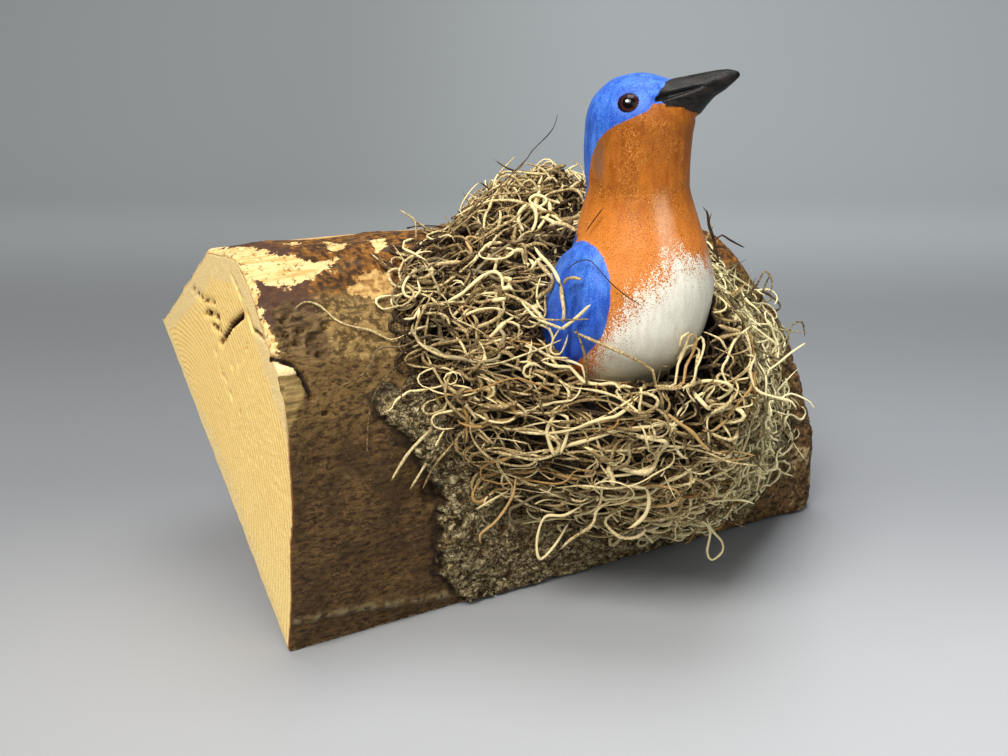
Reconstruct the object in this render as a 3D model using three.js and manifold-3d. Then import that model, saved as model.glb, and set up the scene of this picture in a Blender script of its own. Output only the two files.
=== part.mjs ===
// A carved and painted bluebird, upright in a nest of curly moss on the front of a split log.
// Millimetres, +Z up. X runs along the log from its sawn end, Y runs to its back.
// The origin is the middle of the log's flat foot.
import * as THREE from 'three';
import * as BufferGeometryUtils from 'three/addons/utils/BufferGeometryUtils.js';
import Module from 'manifold-3d';

const wasm = await Module();
wasm.setup();

// Driving dimensions.
const GAP = 0.3;
const FOOT_CENTRE = { x: 125, y: 42 };

const LOG_LENGTH = 227;
const STRAIGHT_STEPS = 32;
const BARK_STEPS = 28;
const SPLIT_STEPS = 4;
const END_SLANT = 0.16;
const END_ROUNDING = 11;
const END_STATIONS = [0.4, 0.7, 0.88, 0.97, 1];
const FACET_LENGTH = 62;
const FACET_DEPTH = 80;
// Bark outlines across the log, as depth and height, from the foot's front edge to the top.
const SAWN_BARK = [
  [0, 0], [-7.6, 32], [-11.8, 64], [-8.5, 88], [4.8, 109.3], [25, 124.5], [54.3, 121.5],
];
const FAR_BARK = [[-5, 0], [-8, 24], [-6, 48], [3, 72], [18, 92], [39, 106], [68, 107]];
const SAWN_BACK = { edge: [113, 84], foot: [88, 0] };
const FAR_BACK = { edge: [106, 72], foot: [86, 0] };
// The thick bark plate on the lower front: how it fades upwards, and where its left edge runs,
// as height over the floor and place along the log.
const PLATE_RISE = 3.4;
const PLATE_FADE = { start: 78, end: 98 };
const PLATE_BORDER = { start: -1, end: 4 };
const PLATE_EDGE = [
  [0, 66], [7, 60], [15, 53], [38, 50], [45, 53], [54, 47], [63, 44], [72, 37], [80, 30],
];
const ROT_HOLLOW = { x: 17, z: 102, radius: 11, floor: 0.2, depth: 3.2 };
const BARK_WAVE = { height: 0.9, along: [0.11, 0.05], across: [-0.04, 0.13], footFade: 14 };

const BIRD_AXIS = { x: 102, y: -41 };
const BIRD_YAW = THREE.MathUtils.degToRad(-51.6);
const BIRD_SIDES = 36;
const BIRD_RINGS = 35;
const CROWN_HEIGHTS = [175, 176.8, 178, 178.8, 179.2];
// Height on the axis, reach to the back, reach to the breast.
const BIRD_PROFILE = [
  [70, -13, -3], [77, -18.5, 2], [84, -22, 7], [90, -23.8, 12.2], [96, -24.8, 17.8], [101, -25.2, 20.9],
  [108, -25, 23.1], [118, -22.6, 24.3],
  [128, -18.8, 22.3], [137, -16.8, 19], [146, -15, 16], [150, -15.6, 15.7], [156, -16, 15.7],
  [163, -15.8, 16.1], [166, -15.6, 16.5], [169.3, -14.8, 15.7], [172.7, -13.2, 13.5], [176.1, -9.8, 10.2],
  [177.8, -7.1, 7.6], [178.7, -4.6, 4.9], [179.2, -2.2, 2.6],
];
const BODY_FLATTENING = 0.97;
const NECK_FLATTENING = { start: 120, end: 150, share: 0.86 };
// Place along the bill, its lower edge, its upper edge and half its width.
const BILL_PROFILE = [
  [4, 168, 177, 7.5], [9.3, 167, 177.9, 7.2], [14, 167, 179, 6.2], [17.7, 167.9, 179.8, 5.2],
  [19.8, 170.9, 180.2, 4.6], [22, 173.3, 180.6, 3.9], [25.1, 175.4, 181, 2.9], [27.7, 177.9, 180.7, 1.6],
  [28.8, 179, 180.1, 0.7],
];
const BILL_SIDES = 14;
// The folded wing's outline as the angle from the breast, and height.
const WING_OUTLINE = [
  [141, 131.6], [127, 131.8], [107, 128.3], [95.5, 120.6], [92.5, 110.5], [98, 103], [112, 96], [142, 88],
  [172, 85], [172, 126],
];
const WING_RISE = 2.6;
const WING_EDGE = { start: -0.4, end: 3.2 };
const WING_GROOVE = { angle: 119.5, top: 122, bottom: 92, fade: 8, width: 11, depth: 1.6 };

const NEST_SIDES = 40;
const NEST_RINGS = 11;
const NEST_ROOT_RINGS = 3;
const NEST_CENTRE = { x: 128, t: 0.52 };
// The nest's edge on the bark: place along the log, and share of the way up the bark outline.
const NEST_EDGE = [
  [202, 0.62], [192, 0.78], [180, 0.9], [163, 0.98], [140, 1.0], [118, 1.0], [100, 0.94], [82, 0.85],
  [62, 0.78], [49, 0.68], [46, 0.56], [51, 0.41], [63, 0.31], [77, 0.21], [92, 0.16], [110, 0.12],
  [138, 0.08], [166, 0.07], [187, 0.12], [201, 0.22], [205, 0.4],
];
const NEST_RIM = 3;
// Height of the moss at its middle: for places along the log, and for shares of the way up the bark.
const NEST_PLACES = [60, 85, 108, 130, 155, 185, 210];
const NEST_HEIGHTS = [
  [0, [18, 26, 30, 30, 24, 14, 8]],
  [0.2, [24, 40, 46, 46, 34, 18, 9]],
  [0.4, [27, 50, 63, 63, 44, 20, 9]],
  [0.5, [26, 48, 61, 61, 42, 18, 8]],
  [0.62, [22, 32, 46, 46, 30, 13, 6]],
  [0.8, [14, 17, 29, 31, 20, 8, 4]],
  [1, [8, 10, 24, 28, 17, 6, 4]],
];
const NEST_SWELL = { power: 2.2, fullness: 0.75 };
const NEST_LUMPS = { height: 0.07, along: [0.14, 3], across: [-0.05, 17] };
const NEST_ROOT = 5;
// The open front of the nest, before the bird: its length, its spread outwards, and where it faces.
const NEST_NICHE = { length: 90, spread: 14, turn: -121.6, steps: 10 };
// Height in the open front, from its floor up, and half its width there.
const NICHE_PROFILE = [[91, 14.5], [94, 17.5], [97.5, 20.5], [102, 23], [108, 24.5], [114, 25], [191, 25]];

const WOOD_COLOUR = '#7a5a3c';
const MOSS_COLOUR = '#a89a74';
const BLUE_COLOUR = '#3c78e0';

const clamp = THREE.MathUtils.clamp;
const smoothstep = THREE.MathUtils.smoothstep;

// Value at x on a line through [place, value] pairs that are in rising order of place.
function interpolate(pairs, x) {
  let index = 0;
  while (index < pairs.length - 2 && x > pairs[index + 1][0]) {
    index += 1;
  }
  const [x0, y0] = pairs[index];
  const [x1, y1] = pairs[index + 1];
  const share = clamp((x - x0) / (x1 - x0), 0, 1);
  return y0 + (y1 - y0) * share;
}

// Smooth value at x through rows of [place, value, value...], for one column of the rows.
function smoothColumn(rows, column, x) {
  let index = 0;
  while (index < rows.length - 2 && x > rows[index + 1][0]) {
    index += 1;
  }
  const before = rows[Math.max(index - 1, 0)];
  const start = rows[index];
  const end = rows[index + 1];
  const after = rows[Math.min(index + 2, rows.length - 1)];
  const span = end[0] - start[0];
  const u = clamp((x - start[0]) / span, 0, 1);
  const startSlope = (end[column] - before[column]) / (end[0] - before[0]) * span;
  const endSlope = (after[column] - start[column]) / (after[0] - start[0]) * span;
  const u2 = u * u;
  const u3 = u2 * u;
  return (2 * u3 - 3 * u2 + 1) * start[column] + (u3 - 2 * u2 + u) * startSlope
    + (3 * u2 - 2 * u3) * end[column] + (u3 - u2) * endSlope;
}

// A closed body through rings with the same number of points, shut by a fan at each end.
function loft(rings) {
  const count = rings[0].length;
  const positions = [];
  for (const ring of rings) {
    for (const point of ring) {
      positions.push(point.x, point.y, point.z);
    }
  }
  const faces = [];
  for (let row = 0; row < rings.length - 1; row += 1) {
    for (let column = 0; column < count; column += 1) {
      const next = (column + 1) % count;
      const a = row * count + column;
      const b = row * count + next;
      const c = a + count;
      const d = b + count;
      faces.push(a, b, d, a, d, c);
    }
  }
  for (const last of [false, true]) {
    const row = last ? rings.length - 1 : 0;
    const centre = new THREE.Vector3();
    rings[row].forEach((point) => centre.addScaledVector(point, 1 / count));
    const hub = positions.length / 3;
    positions.push(centre.x, centre.y, centre.z);
    for (let column = 0; column < count; column += 1) {
      const a = row * count + column;
      const b = row * count + (column + 1) % count;
      faces.push(...(last ? [a, b, hub] : [b, a, hub]));
    }
  }
  const geometry = new THREE.BufferGeometry();
  geometry.setAttribute('position', new THREE.Float32BufferAttribute(positions, 3));
  geometry.setIndex(faces);
  return geometry;
}

function toSolid(geometry) {
  const bare = geometry.clone();
  bare.deleteAttribute('normal');
  bare.deleteAttribute('uv');
  const merged = BufferGeometryUtils.mergeVertices(bare, 1e-4);
  const mesh = new wasm.Mesh({
    numProp: 3,
    vertProperties: new Float32Array(merged.attributes.position.array),
    triVerts: new Uint32Array(merged.index.array),
  });
  return new wasm.Manifold(mesh);
}

// The one body that is left when the slivers beside a cut are dropped.
function largestBody(solid) {
  const bodies = solid.decompose();
  return bodies.reduce((best, body) => (body.volume() > best.volume() ? body : best));
}

function toGeometry(solid) {
  const mesh = solid.getMesh();
  const geometry = new THREE.BufferGeometry();
  geometry.setAttribute('position', new THREE.BufferAttribute(new Float32Array(mesh.vertProperties), 3));
  geometry.setIndex(new THREE.BufferAttribute(new Uint32Array(mesh.triVerts), 1));
  return geometry;
}

// The log.

function blend(near, far, share) {
  return near.map((value, index) => value + (far[index] - value) * share);
}

// The log keeps its outline for most of its length and grows slimmer towards the far end.
function taperShare(x) {
  return clamp(x / LOG_LENGTH, 0, 1) ** 2;
}

function barkCurve(x) {
  const share = taperShare(x);
  const points = SAWN_BARK.map((point, index) => blend(point, FAR_BARK[index], share));
  return new THREE.SplineCurve(points.map(([y, z]) => new THREE.Vector2(y, z)));
}

// Two waves that cross, from -1 to 1, each with its own pace along both directions.
function crossedWaves(waves, x, y) {
  const [alongX, alongY] = waves.along;
  const [acrossX, acrossY] = waves.across;
  return Math.sin(x * alongX + y * alongY) * Math.sin(x * acrossX + y * acrossY);
}

// How far the bark stands out from its plain outline.
function barkRelief(x, z) {
  const plateSide = smoothstep(x - interpolate(PLATE_EDGE, z), PLATE_BORDER.start, PLATE_BORDER.end);
  const plate = PLATE_RISE * plateSide * (1 - smoothstep(z, PLATE_FADE.start, PLATE_FADE.end));
  const fromHollow = Math.hypot(x - ROT_HOLLOW.x, z - ROT_HOLLOW.z) / ROT_HOLLOW.radius;
  const hollow = ROT_HOLLOW.depth * (1 - smoothstep(fromHollow, ROT_HOLLOW.floor, 1));
  const footFade = smoothstep(z, 0, BARK_WAVE.footFade);
  return plate - hollow + BARK_WAVE.height * crossedWaves(BARK_WAVE, x, z) * footFade;
}

// A point on the bark, at x along the log and t of the way from the foot to the top back edge.
function barkPoint(x, t, outward) {
  const curve = barkCurve(x);
  const place = curve.getPoint(t);
  const along = curve.getTangent(clamp(t, 0.001, 0.999));
  const rise = barkRelief(x, place.y) + outward;
  return new THREE.Vector3(x, place.x - along.y * rise, place.y + along.x * rise);
}

function logRing(x, outward) {
  const share = taperShare(x);
  const edge = blend(SAWN_BACK.edge, FAR_BACK.edge, share);
  const foot = blend(SAWN_BACK.foot, FAR_BACK.foot, share);
  const ring = [];
  for (let step = 0; step <= BARK_STEPS; step += 1) {
    ring.push(barkPoint(x, step / BARK_STEPS, outward));
  }
  ring[0].z = -outward;
  const top = ring[BARK_STEPS];
  const corners = [[top.y, top.z], [edge[0] + outward, edge[1] + outward], [foot[0] + outward, -outward]];
  corners.push([ring[0].y, ring[0].z]);
  for (let side = 0; side < corners.length - 1; side += 1) {
    for (let step = 1; step <= SPLIT_STEPS; step += 1) {
      const [y, z] = blend(corners[side], corners[side + 1], step / SPLIT_STEPS);
      ring.push(new THREE.Vector3(x, y, z));
    }
  }
  ring.pop();
  return ring.reverse();
}

// The far end is cut a little out of square, and its corners are worn round.
function finishFarEnd(ring, x) {
  const intoEnd = clamp((x - (LOG_LENGTH - END_ROUNDING)) / END_ROUNDING, 0, 1);
  const inset = END_ROUNDING * (1 - Math.sqrt(1 - intoEnd * intoEnd));
  const centre = new THREE.Vector3();
  ring.forEach((point) => centre.addScaledVector(point, 1 / ring.length));
  ring.forEach((point) => {
    const reach = point.distanceTo(centre);
    point.lerp(centre, inset / reach);
    point.x -= END_SLANT * point.z * (x / LOG_LENGTH);
  });
  return ring;
}

// The lower back corner beside the sawn end is split away, up to the end face's slanted edge.
function cornerWedge() {
  const front = new THREE.Vector3(0, 0, 0);
  const back = new THREE.Vector3(0, ...SAWN_BACK.edge);
  const inner = new THREE.Vector3(FACET_LENGTH, FACET_DEPTH, 0);
  const plane = new THREE.Plane().setFromCoplanarPoints(front, back, inner);
  const towardsCorner = new THREE.Vector3(-1, 1, -1).dot(plane.normal) > 0 ? 1 : -1;
  const normal = plane.normal.clone().multiplyScalar(towardsCorner);
  const size = 3 * LOG_LENGTH;
  const block = new THREE.BoxGeometry(size, size, size);
  block.translate(0, 0, size / 2);
  block.applyQuaternion(new THREE.Quaternion().setFromUnitVectors(new THREE.Vector3(0, 0, 1), normal));
  return block;
}

function logSolid(outward) {
  const rings = [];
  const straight = LOG_LENGTH - END_ROUNDING;
  for (let step = 0; step <= STRAIGHT_STEPS; step += 1) {
    rings.push(straight * step / STRAIGHT_STEPS);
  }
  for (const share of END_STATIONS) {
    rings.push(straight + END_ROUNDING * share);
  }
  rings[0] -= outward;
  rings[rings.length - 1] += outward;
  return toSolid(loft(rings.map((x) => finishFarEnd(logRing(x, outward), x))));
}

// The bird.

const wingPoints = WING_OUTLINE.map(([angle, height]) => new THREE.Vector2(angle, height));

// Distance in mm inside the wing's outline, below zero outside; the reach turns angles into lengths.
function depthInWing(angle, height, reach) {
  const toLength = THREE.MathUtils.degToRad(reach);
  let inside = false;
  let nearest = Infinity;
  for (let index = 0; index < wingPoints.length; index += 1) {
    const start = wingPoints[index];
    const end = wingPoints[(index + 1) % wingPoints.length];
    if ((start.y > height) !== (end.y > height)) {
      const crossing = start.x + (height - start.y) / (end.y - start.y) * (end.x - start.x);
      inside = angle < crossing ? !inside : inside;
    }
    const line = new THREE.Line3(
      new THREE.Vector3(start.x * toLength, start.y, 0),
      new THREE.Vector3(end.x * toLength, end.y, 0),
    );
    const place = new THREE.Vector3(angle * toLength, height, 0);
    const closest = line.closestPointToPoint(place, true, new THREE.Vector3());
    nearest = Math.min(nearest, closest.distanceTo(place));
  }
  return inside ? nearest : -nearest;
}

function wingRelief(angle, height, reach) {
  const depth = depthInWing(angle, height, reach);
  const lobe = WING_RISE * smoothstep(depth, WING_EDGE.start, WING_EDGE.end);
  const acrossGroove = Math.abs(angle - WING_GROOVE.angle) / WING_GROOVE.width;
  const alongGroove = smoothstep(height, WING_GROOVE.bottom, WING_GROOVE.bottom + WING_GROOVE.fade)
    * (1 - smoothstep(height, WING_GROOVE.top - WING_GROOVE.fade, WING_GROOVE.top));
  return lobe - WING_GROOVE.depth * alongGroove * (1 - smoothstep(acrossGroove, 0, 1));
}

// One level ring of the body, neck and head, in the bird's own side view: X to the breast, Z up.
function birdRing(height, outward) {
  const back = smoothColumn(BIRD_PROFILE, 1, height);
  const front = smoothColumn(BIRD_PROFILE, 2, height);
  const middle = (back + front) / 2;
  const reach = (front - back) / 2;
  const neckShare = smoothstep(height, NECK_FLATTENING.start, NECK_FLATTENING.end);
  const flattening = THREE.MathUtils.lerp(BODY_FLATTENING, NECK_FLATTENING.share, neckShare);
  const ring = [];
  for (let side = 0; side < BIRD_SIDES; side += 1) {
    const angle = 2 * Math.PI * side / BIRD_SIDES;
    const degrees = THREE.MathUtils.radToDeg(angle);
    const fromBreast = Math.min(degrees, 360 - degrees);
    const rise = wingRelief(fromBreast, height, reach) + outward;
    const x = middle + (reach + rise) * Math.cos(angle);
    const y = (reach * flattening + rise) * Math.sin(angle);
    ring.push(new THREE.Vector3(x, y, height));
  }
  return ring;
}

function birdBody(outward) {
  const bottom = BIRD_PROFILE[0][0];
  const rings = [];
  for (let step = 0; step < BIRD_RINGS; step += 1) {
    rings.push(birdRing(bottom + (CROWN_HEIGHTS[0] - bottom) * step / BIRD_RINGS, outward));
  }
  CROWN_HEIGHTS.forEach((height) => rings.push(birdRing(height, outward)));
  rings[0].forEach((point) => { point.z -= outward; });
  rings[rings.length - 1].forEach((point) => { point.z += outward; });
  return toSolid(loft(rings));
}

// The bill is a deep wedge, arched on top and hollowed below, that closes to a small blunt tip.
function birdBill() {
  const rings = BILL_PROFILE.map(([x, bottom, top, halfWidth]) => {
    const ring = [];
    for (let side = 0; side < BILL_SIDES; side += 1) {
      const angle = 2 * Math.PI * side / BILL_SIDES;
      const height = (bottom + top) / 2 + Math.sin(angle) * (top - bottom) / 2;
      ring.push(new THREE.Vector3(x, Math.cos(angle) * halfWidth, height));
    }
    return ring;
  });
  return toSolid(loft(rings));
}

function placeBird(solid) {
  const geometry = toGeometry(solid);
  geometry.rotateZ(BIRD_YAW);
  geometry.translate(BIRD_AXIS.x, BIRD_AXIS.y, 0);
  return toSolid(geometry);
}

// The nest.

function nestEdgeReach(angle) {
  const directions = NEST_EDGE.map(([x, t]) => {
    const across = (x - NEST_CENTRE.x) / LOG_LENGTH;
    const up = t - NEST_CENTRE.t;
    return [Math.atan2(up, across), Math.hypot(up, across)];
  });
  directions.sort((a, b) => a[0] - b[0]);
  const first = directions[0];
  const last = directions[directions.length - 1];
  const wrapped = [[last[0] - 2 * Math.PI, last[1]], ...directions, [first[0] + 2 * Math.PI, first[1]]];
  return interpolate(wrapped, angle);
}

// Height of the moss over the bark: most round the bird, less on top, little at the rim.
function nestHeight(x, t, share) {
  const across = NEST_HEIGHTS.map(([upwards, heights]) => {
    const along = NEST_PLACES.map((place, index) => [place, heights[index]]);
    return [upwards, interpolate(along, x)];
  });
  const swell = Math.max(1 - share ** NEST_SWELL.power, 0) ** NEST_SWELL.fullness;
  const dome = NEST_RIM + (interpolate(across, t) - NEST_RIM) * swell;
  return dome * (1 + NEST_LUMPS.height * crossedWaves(NEST_LUMPS, x, t));
}

// The space in front of the bird's breast that the moss leaves open, narrower towards its floor.
function nestNiche() {
  const rings = NICHE_PROFILE.map(([height, half]) => {
    const ring = [];
    for (let step = 0; step <= NEST_NICHE.steps; step += 1) {
      const angle = Math.PI / 2 + Math.PI * step / NEST_NICHE.steps;
      ring.push(new THREE.Vector3(half * Math.cos(angle), half * Math.sin(angle), height));
    }
    ring.push(new THREE.Vector3(NEST_NICHE.length, -half - NEST_NICHE.spread, height));
    ring.push(new THREE.Vector3(NEST_NICHE.length, half + NEST_NICHE.spread, height));
    return ring;
  });
  const geometry = loft(rings);
  geometry.rotateZ(THREE.MathUtils.degToRad(NEST_NICHE.turn));
  geometry.translate(BIRD_AXIS.x, BIRD_AXIS.y, 0);
  return geometry;
}

function nestRings(outer) {
  const rings = [];
  const count = outer ? NEST_RINGS : NEST_ROOT_RINGS;
  for (let ringIndex = 1; ringIndex <= count; ringIndex += 1) {
    const share = ringIndex / count;
    const ring = [];
    for (let side = 0; side < NEST_SIDES; side += 1) {
      const angle = 2 * Math.PI * side / NEST_SIDES - Math.PI;
      const reach = nestEdgeReach(angle) * share;
      const x = NEST_CENTRE.x + reach * Math.cos(angle) * LOG_LENGTH;
      const t = clamp(NEST_CENTRE.t + reach * Math.sin(angle), 0, 1);
      const height = outer ? nestHeight(x, t, share) : -NEST_ROOT;
      ring.push(barkPoint(x, t, height));
    }
    rings.push(ring);
  }
  return rings;
}

function nestBlob() {
  const outer = nestRings(true);
  const inner = nestRings(false);
  return toSolid(loft([...inner, ...outer.reverse()]));
}

function makeMesh(name, solid, colour, roughness) {
  const material = new THREE.MeshStandardMaterial({ color: colour, roughness, metalness: 0 });
  const mesh = new THREE.Mesh(toGeometry(solid), material);
  mesh.name = name;
  return mesh;
}

const wedge = toSolid(cornerWedge());
const log = logSolid(0).subtract(wedge);
const bird = placeBird(birdBody(0).add(birdBill()));
const birdSpace = placeBird(birdBody(GAP));
const niche = toSolid(nestNiche());
const nest = largestBody(nestBlob().subtract(logSolid(GAP)).subtract(birdSpace).subtract(niche));

const group = new THREE.Group();
group.position.set(-FOOT_CENTRE.x, -FOOT_CENTRE.y, 0);
group.add(makeMesh('log', log, WOOD_COLOUR, 0.85));
group.add(makeMesh('nest', nest, MOSS_COLOUR, 0.95));
group.add(makeMesh('bird', bird, BLUE_COLOUR, 0.5));

export default group;
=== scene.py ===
# %% [markdown]
# # A carved bluebird in a moss nest on a split log
#
# The real object is three things put together by hand: a piece of firewood, sawn at one end and
# split along its back, a nest of dried moss on its bark, and a painted wooden bird standing in the
# nest. This lesson builds each of them over a plain solid model that is already there.
#
# First the frame is loaded. It holds the plain solids in metres, with the floor at height nought.

import math

import bmesh
import bpy
import numpy as np
from mathutils import Matrix, Vector, noise
from mathutils.bvhtree import BVHTree


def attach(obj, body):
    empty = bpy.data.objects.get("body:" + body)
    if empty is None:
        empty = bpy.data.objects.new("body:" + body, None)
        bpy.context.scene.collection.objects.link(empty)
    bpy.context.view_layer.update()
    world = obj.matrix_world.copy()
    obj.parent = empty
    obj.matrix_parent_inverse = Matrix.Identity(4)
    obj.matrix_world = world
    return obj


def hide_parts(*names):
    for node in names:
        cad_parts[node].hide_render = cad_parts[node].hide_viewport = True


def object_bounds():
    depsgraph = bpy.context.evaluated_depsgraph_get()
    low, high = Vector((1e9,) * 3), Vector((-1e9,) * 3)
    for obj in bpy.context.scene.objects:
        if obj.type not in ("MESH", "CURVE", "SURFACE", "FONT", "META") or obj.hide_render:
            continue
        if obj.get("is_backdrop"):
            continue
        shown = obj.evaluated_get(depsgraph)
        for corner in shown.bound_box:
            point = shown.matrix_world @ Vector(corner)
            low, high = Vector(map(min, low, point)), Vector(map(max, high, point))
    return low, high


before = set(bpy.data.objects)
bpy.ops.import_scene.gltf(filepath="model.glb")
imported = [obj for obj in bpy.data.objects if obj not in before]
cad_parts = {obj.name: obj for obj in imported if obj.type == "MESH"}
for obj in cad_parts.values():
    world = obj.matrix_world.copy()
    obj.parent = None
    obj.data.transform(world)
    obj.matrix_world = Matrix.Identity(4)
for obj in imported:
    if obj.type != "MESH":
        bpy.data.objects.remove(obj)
solid_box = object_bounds()
print("solid model, lowest corner", [round(c, 4) for c in solid_box[0]])
print("solid model, highest corner", [round(c, 4) for c in solid_box[1]])

# %% [markdown]
# ## Working in millimetres on the log
#
# The log is easiest to measure from its sawn end: x runs along it, y goes from the front edge of
# its foot to the back, and z is height. Every shape below is made in those millimetres, and one
# matrix at the end of its making puts it into the frame's metres.

# %% The log's own measure
FOOT_CENTRE = (125.0, 42.0)
MILLIMETRE = 0.001
TO_FRAME = Matrix.Scale(MILLIMETRE, 4) @ Matrix.Translation((-FOOT_CENTRE[0], -FOOT_CENTRE[1], 0.0))


def smoothstep(value, low, high):
    """Goes softly from 0 at low to 1 at high."""
    share = np.clip((value - low) / (high - low), 0.0, 1.0)
    return share * share * (3.0 - 2.0 * share)


def noise_field(points, size, octaves=3, seed=0.0):
    """Cloudy noise of a given grain size in millimetres, from about -1 to 1."""
    shift = Vector((seed * 17.3, seed * 5.1, seed * 9.7))
    values = [noise.fractal(Vector(p) / size + shift, 1.0, 2.0, octaves) for p in points]
    return np.array(values)


# %% [markdown]
# ## Camera
#
# The photograph was taken close by and from a little above the bird, so lines that run away from
# the lens draw together. The camera stands where those lines say it stood, and looks down by 18
# degrees. Its height matters most, because it sets how much of the log's top shows.

# %% Place the camera
SENSOR_WIDTH = 36.0
LENS_LENGTH = 42.857
camera_data = bpy.data.cameras.new("camera")
camera_data.sensor_width = SENSOR_WIDTH
camera_data.lens = LENS_LENGTH
camera_data.clip_start = 0.01
camera_data.clip_end = 20.0
camera = bpy.data.objects.new("camera", camera_data)
bpy.context.scene.collection.objects.link(camera)
CAMERA_PLACE = Vector((-0.2432, -0.3659, 0.205))
CAMERA_PITCH = math.radians(18.4)
VIEW_EAST = 0.524
VIEW_NORTH = 0.852
CAMERA_HEADING = math.atan2(VIEW_NORTH, VIEW_EAST)
look = Vector((
    math.cos(CAMERA_HEADING) * math.cos(CAMERA_PITCH),
    math.sin(CAMERA_HEADING) * math.cos(CAMERA_PITCH),
    -math.sin(CAMERA_PITCH),
))
camera.location = CAMERA_PLACE
camera.rotation_euler = look.to_track_quat("-Z", "Y").to_euler()
bpy.context.scene.camera = camera
bpy.context.scene.view_settings.view_transform = "Standard"
print("camera looks along", [round(c, 3) for c in look])

# %% [markdown]
# ## A small class for shader maths
#
# A material's pattern is a sum in which every plus and times is a node. Written as nodes that is
# long, so this class wraps a number socket and lets Python's own signs add the nodes. The graph
# object makes every other kind of node.


# %% Shader maths as expressions
class Value:
    """A number that changes over the surface, for use in ordinary expressions."""

    def __init__(self, graph, socket):
        self.graph = graph
        self.socket = socket

    def maths(self, operation, *inputs):
        made = self.graph.node("ShaderNodeMath", {"operation": operation}, dict(enumerate(inputs)))
        return Value(self.graph, made.outputs[0])

    def __add__(self, other):
        return self.maths("ADD", self, other)

    __radd__ = __add__

    def __sub__(self, other):
        return self.maths("SUBTRACT", self, other)

    def __rsub__(self, other):
        return self.maths("SUBTRACT", other, self)

    def __mul__(self, other):
        return self.maths("MULTIPLY", self, other)

    __rmul__ = __mul__

    def step(self, low, high):
        """Goes softly from 0 at low to 1 at high."""
        settings = {"interpolation_type": "SMOOTHSTEP"}
        inputs = {"Value": self, "From Min": low, "From Max": high}
        made = self.graph.node("ShaderNodeMapRange", settings, inputs)
        return Value(self.graph, made.outputs[0])

    def most(self, other):
        return self.maths("MAXIMUM", self, other)

    def sine(self):
        return self.maths("SINE", self)

    def size(self):
        return self.maths("ABSOLUTE", self)

    def root(self):
        return self.maths("SQRT", self)


# %% Colours, and a material as a graph of nodes
def paint(red, green, blue):
    """A colour as an eye sees it, from 0 to 255, turned into the renderer's light values."""
    light = []
    for part in (red, green, blue):
        share = part / 255.0
        light.append(share / 12.92 if share <= 0.04045 else ((share + 0.055) / 1.055) ** 2.4)
    return (*light, 1.0)


class Graph:
    """One material and the nodes in it."""

    def __init__(self, name, roughness):
        self.material = bpy.data.materials.new(name)
        self.material.use_nodes = True
        self.tree = self.material.node_tree
        self.shader = self.tree.nodes["Principled BSDF"]
        self.shader.inputs["Roughness"].default_value = roughness
        self.place = self.node("ShaderNodeTexCoord").outputs["Object"]

    def node(self, kind, settings=None, inputs=None):
        made = self.tree.nodes.new(kind)
        for name, setting in (settings or {}).items():
            setattr(made, name, setting)
        for name, given in (inputs or {}).items():
            socket = made.inputs[name]
            if isinstance(given, Value):
                given = given.socket
            if isinstance(given, bpy.types.NodeSocket):
                self.tree.links.new(given, socket)
            else:
                socket.default_value = given
        return made

    def axis(self, number):
        """Object coordinate x, y or z, in millimetres."""
        made = self.node("ShaderNodeSeparateXYZ", inputs={0: self.place})
        return Value(self, made.outputs[number]) * 1000.0

    def attribute(self, name):
        made = self.node("ShaderNodeAttribute", {"attribute_name": name})
        return Value(self, made.outputs["Fac"])

    def stretched(self, scale):
        """Object coordinates in millimetres, squeezed along each axis by the given scale."""
        settings = {"operation": "MULTIPLY"}
        factors = tuple(1000.0 * part for part in scale)
        return self.node("ShaderNodeVectorMath", settings, {0: self.place, 1: factors}).outputs[0]

    def clouds(self, size, detail=3.0, roughness=0.55, scale=(1.0, 1.0, 1.0), bend=0.0):
        """Noise of a grain size in millimetres, about 0.5 on average."""
        inputs = {
            "Vector": self.stretched(scale),
            "Scale": 1.0 / size,
            "Detail": detail,
            "Roughness": roughness,
            "Distortion": bend,
        }
        return Value(self, self.node("ShaderNodeTexNoise", inputs=inputs).outputs[0])

    def mix(self, share, first, second):
        """The first colour where share is 0, the second where it is 1."""
        made = self.node("ShaderNodeMix", {"data_type": "RGBA"}, {0: share, 6: first, 7: second})
        return made.outputs[2]

    def layers(self, ground, *coats):
        """Lays colours over a ground one by one, each given as its share and the colour."""
        for share, colour in coats:
            ground = self.mix(share, ground, colour)
        return ground

    def finish(self, colour, roughness=None, height=None, depth=0.0003, strength=1.0):
        """Joins the finished colour, roughness and height to the shader."""
        self.tree.links.new(colour, self.shader.inputs["Base Color"])
        if roughness is not None:
            self.tree.links.new(roughness.socket, self.shader.inputs["Roughness"])
        if height is not None:
            inputs = {"Height": height, "Distance": depth, "Strength": strength}
            bump = self.node("ShaderNodeBump", inputs=inputs)
            self.tree.links.new(bump.outputs[0], self.shader.inputs["Normal"])
        return self.material


# %% [markdown]
# ## Floor, backdrop and lamps
#
# The object stands on a pale grey sheet that runs up behind it. A grid is bent up along its back
# edge for that, which leaves no line where floor meets wall. Daylight comes softly from the upper
# left, so the sawn end is bright and the shadow falls to the right.

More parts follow.
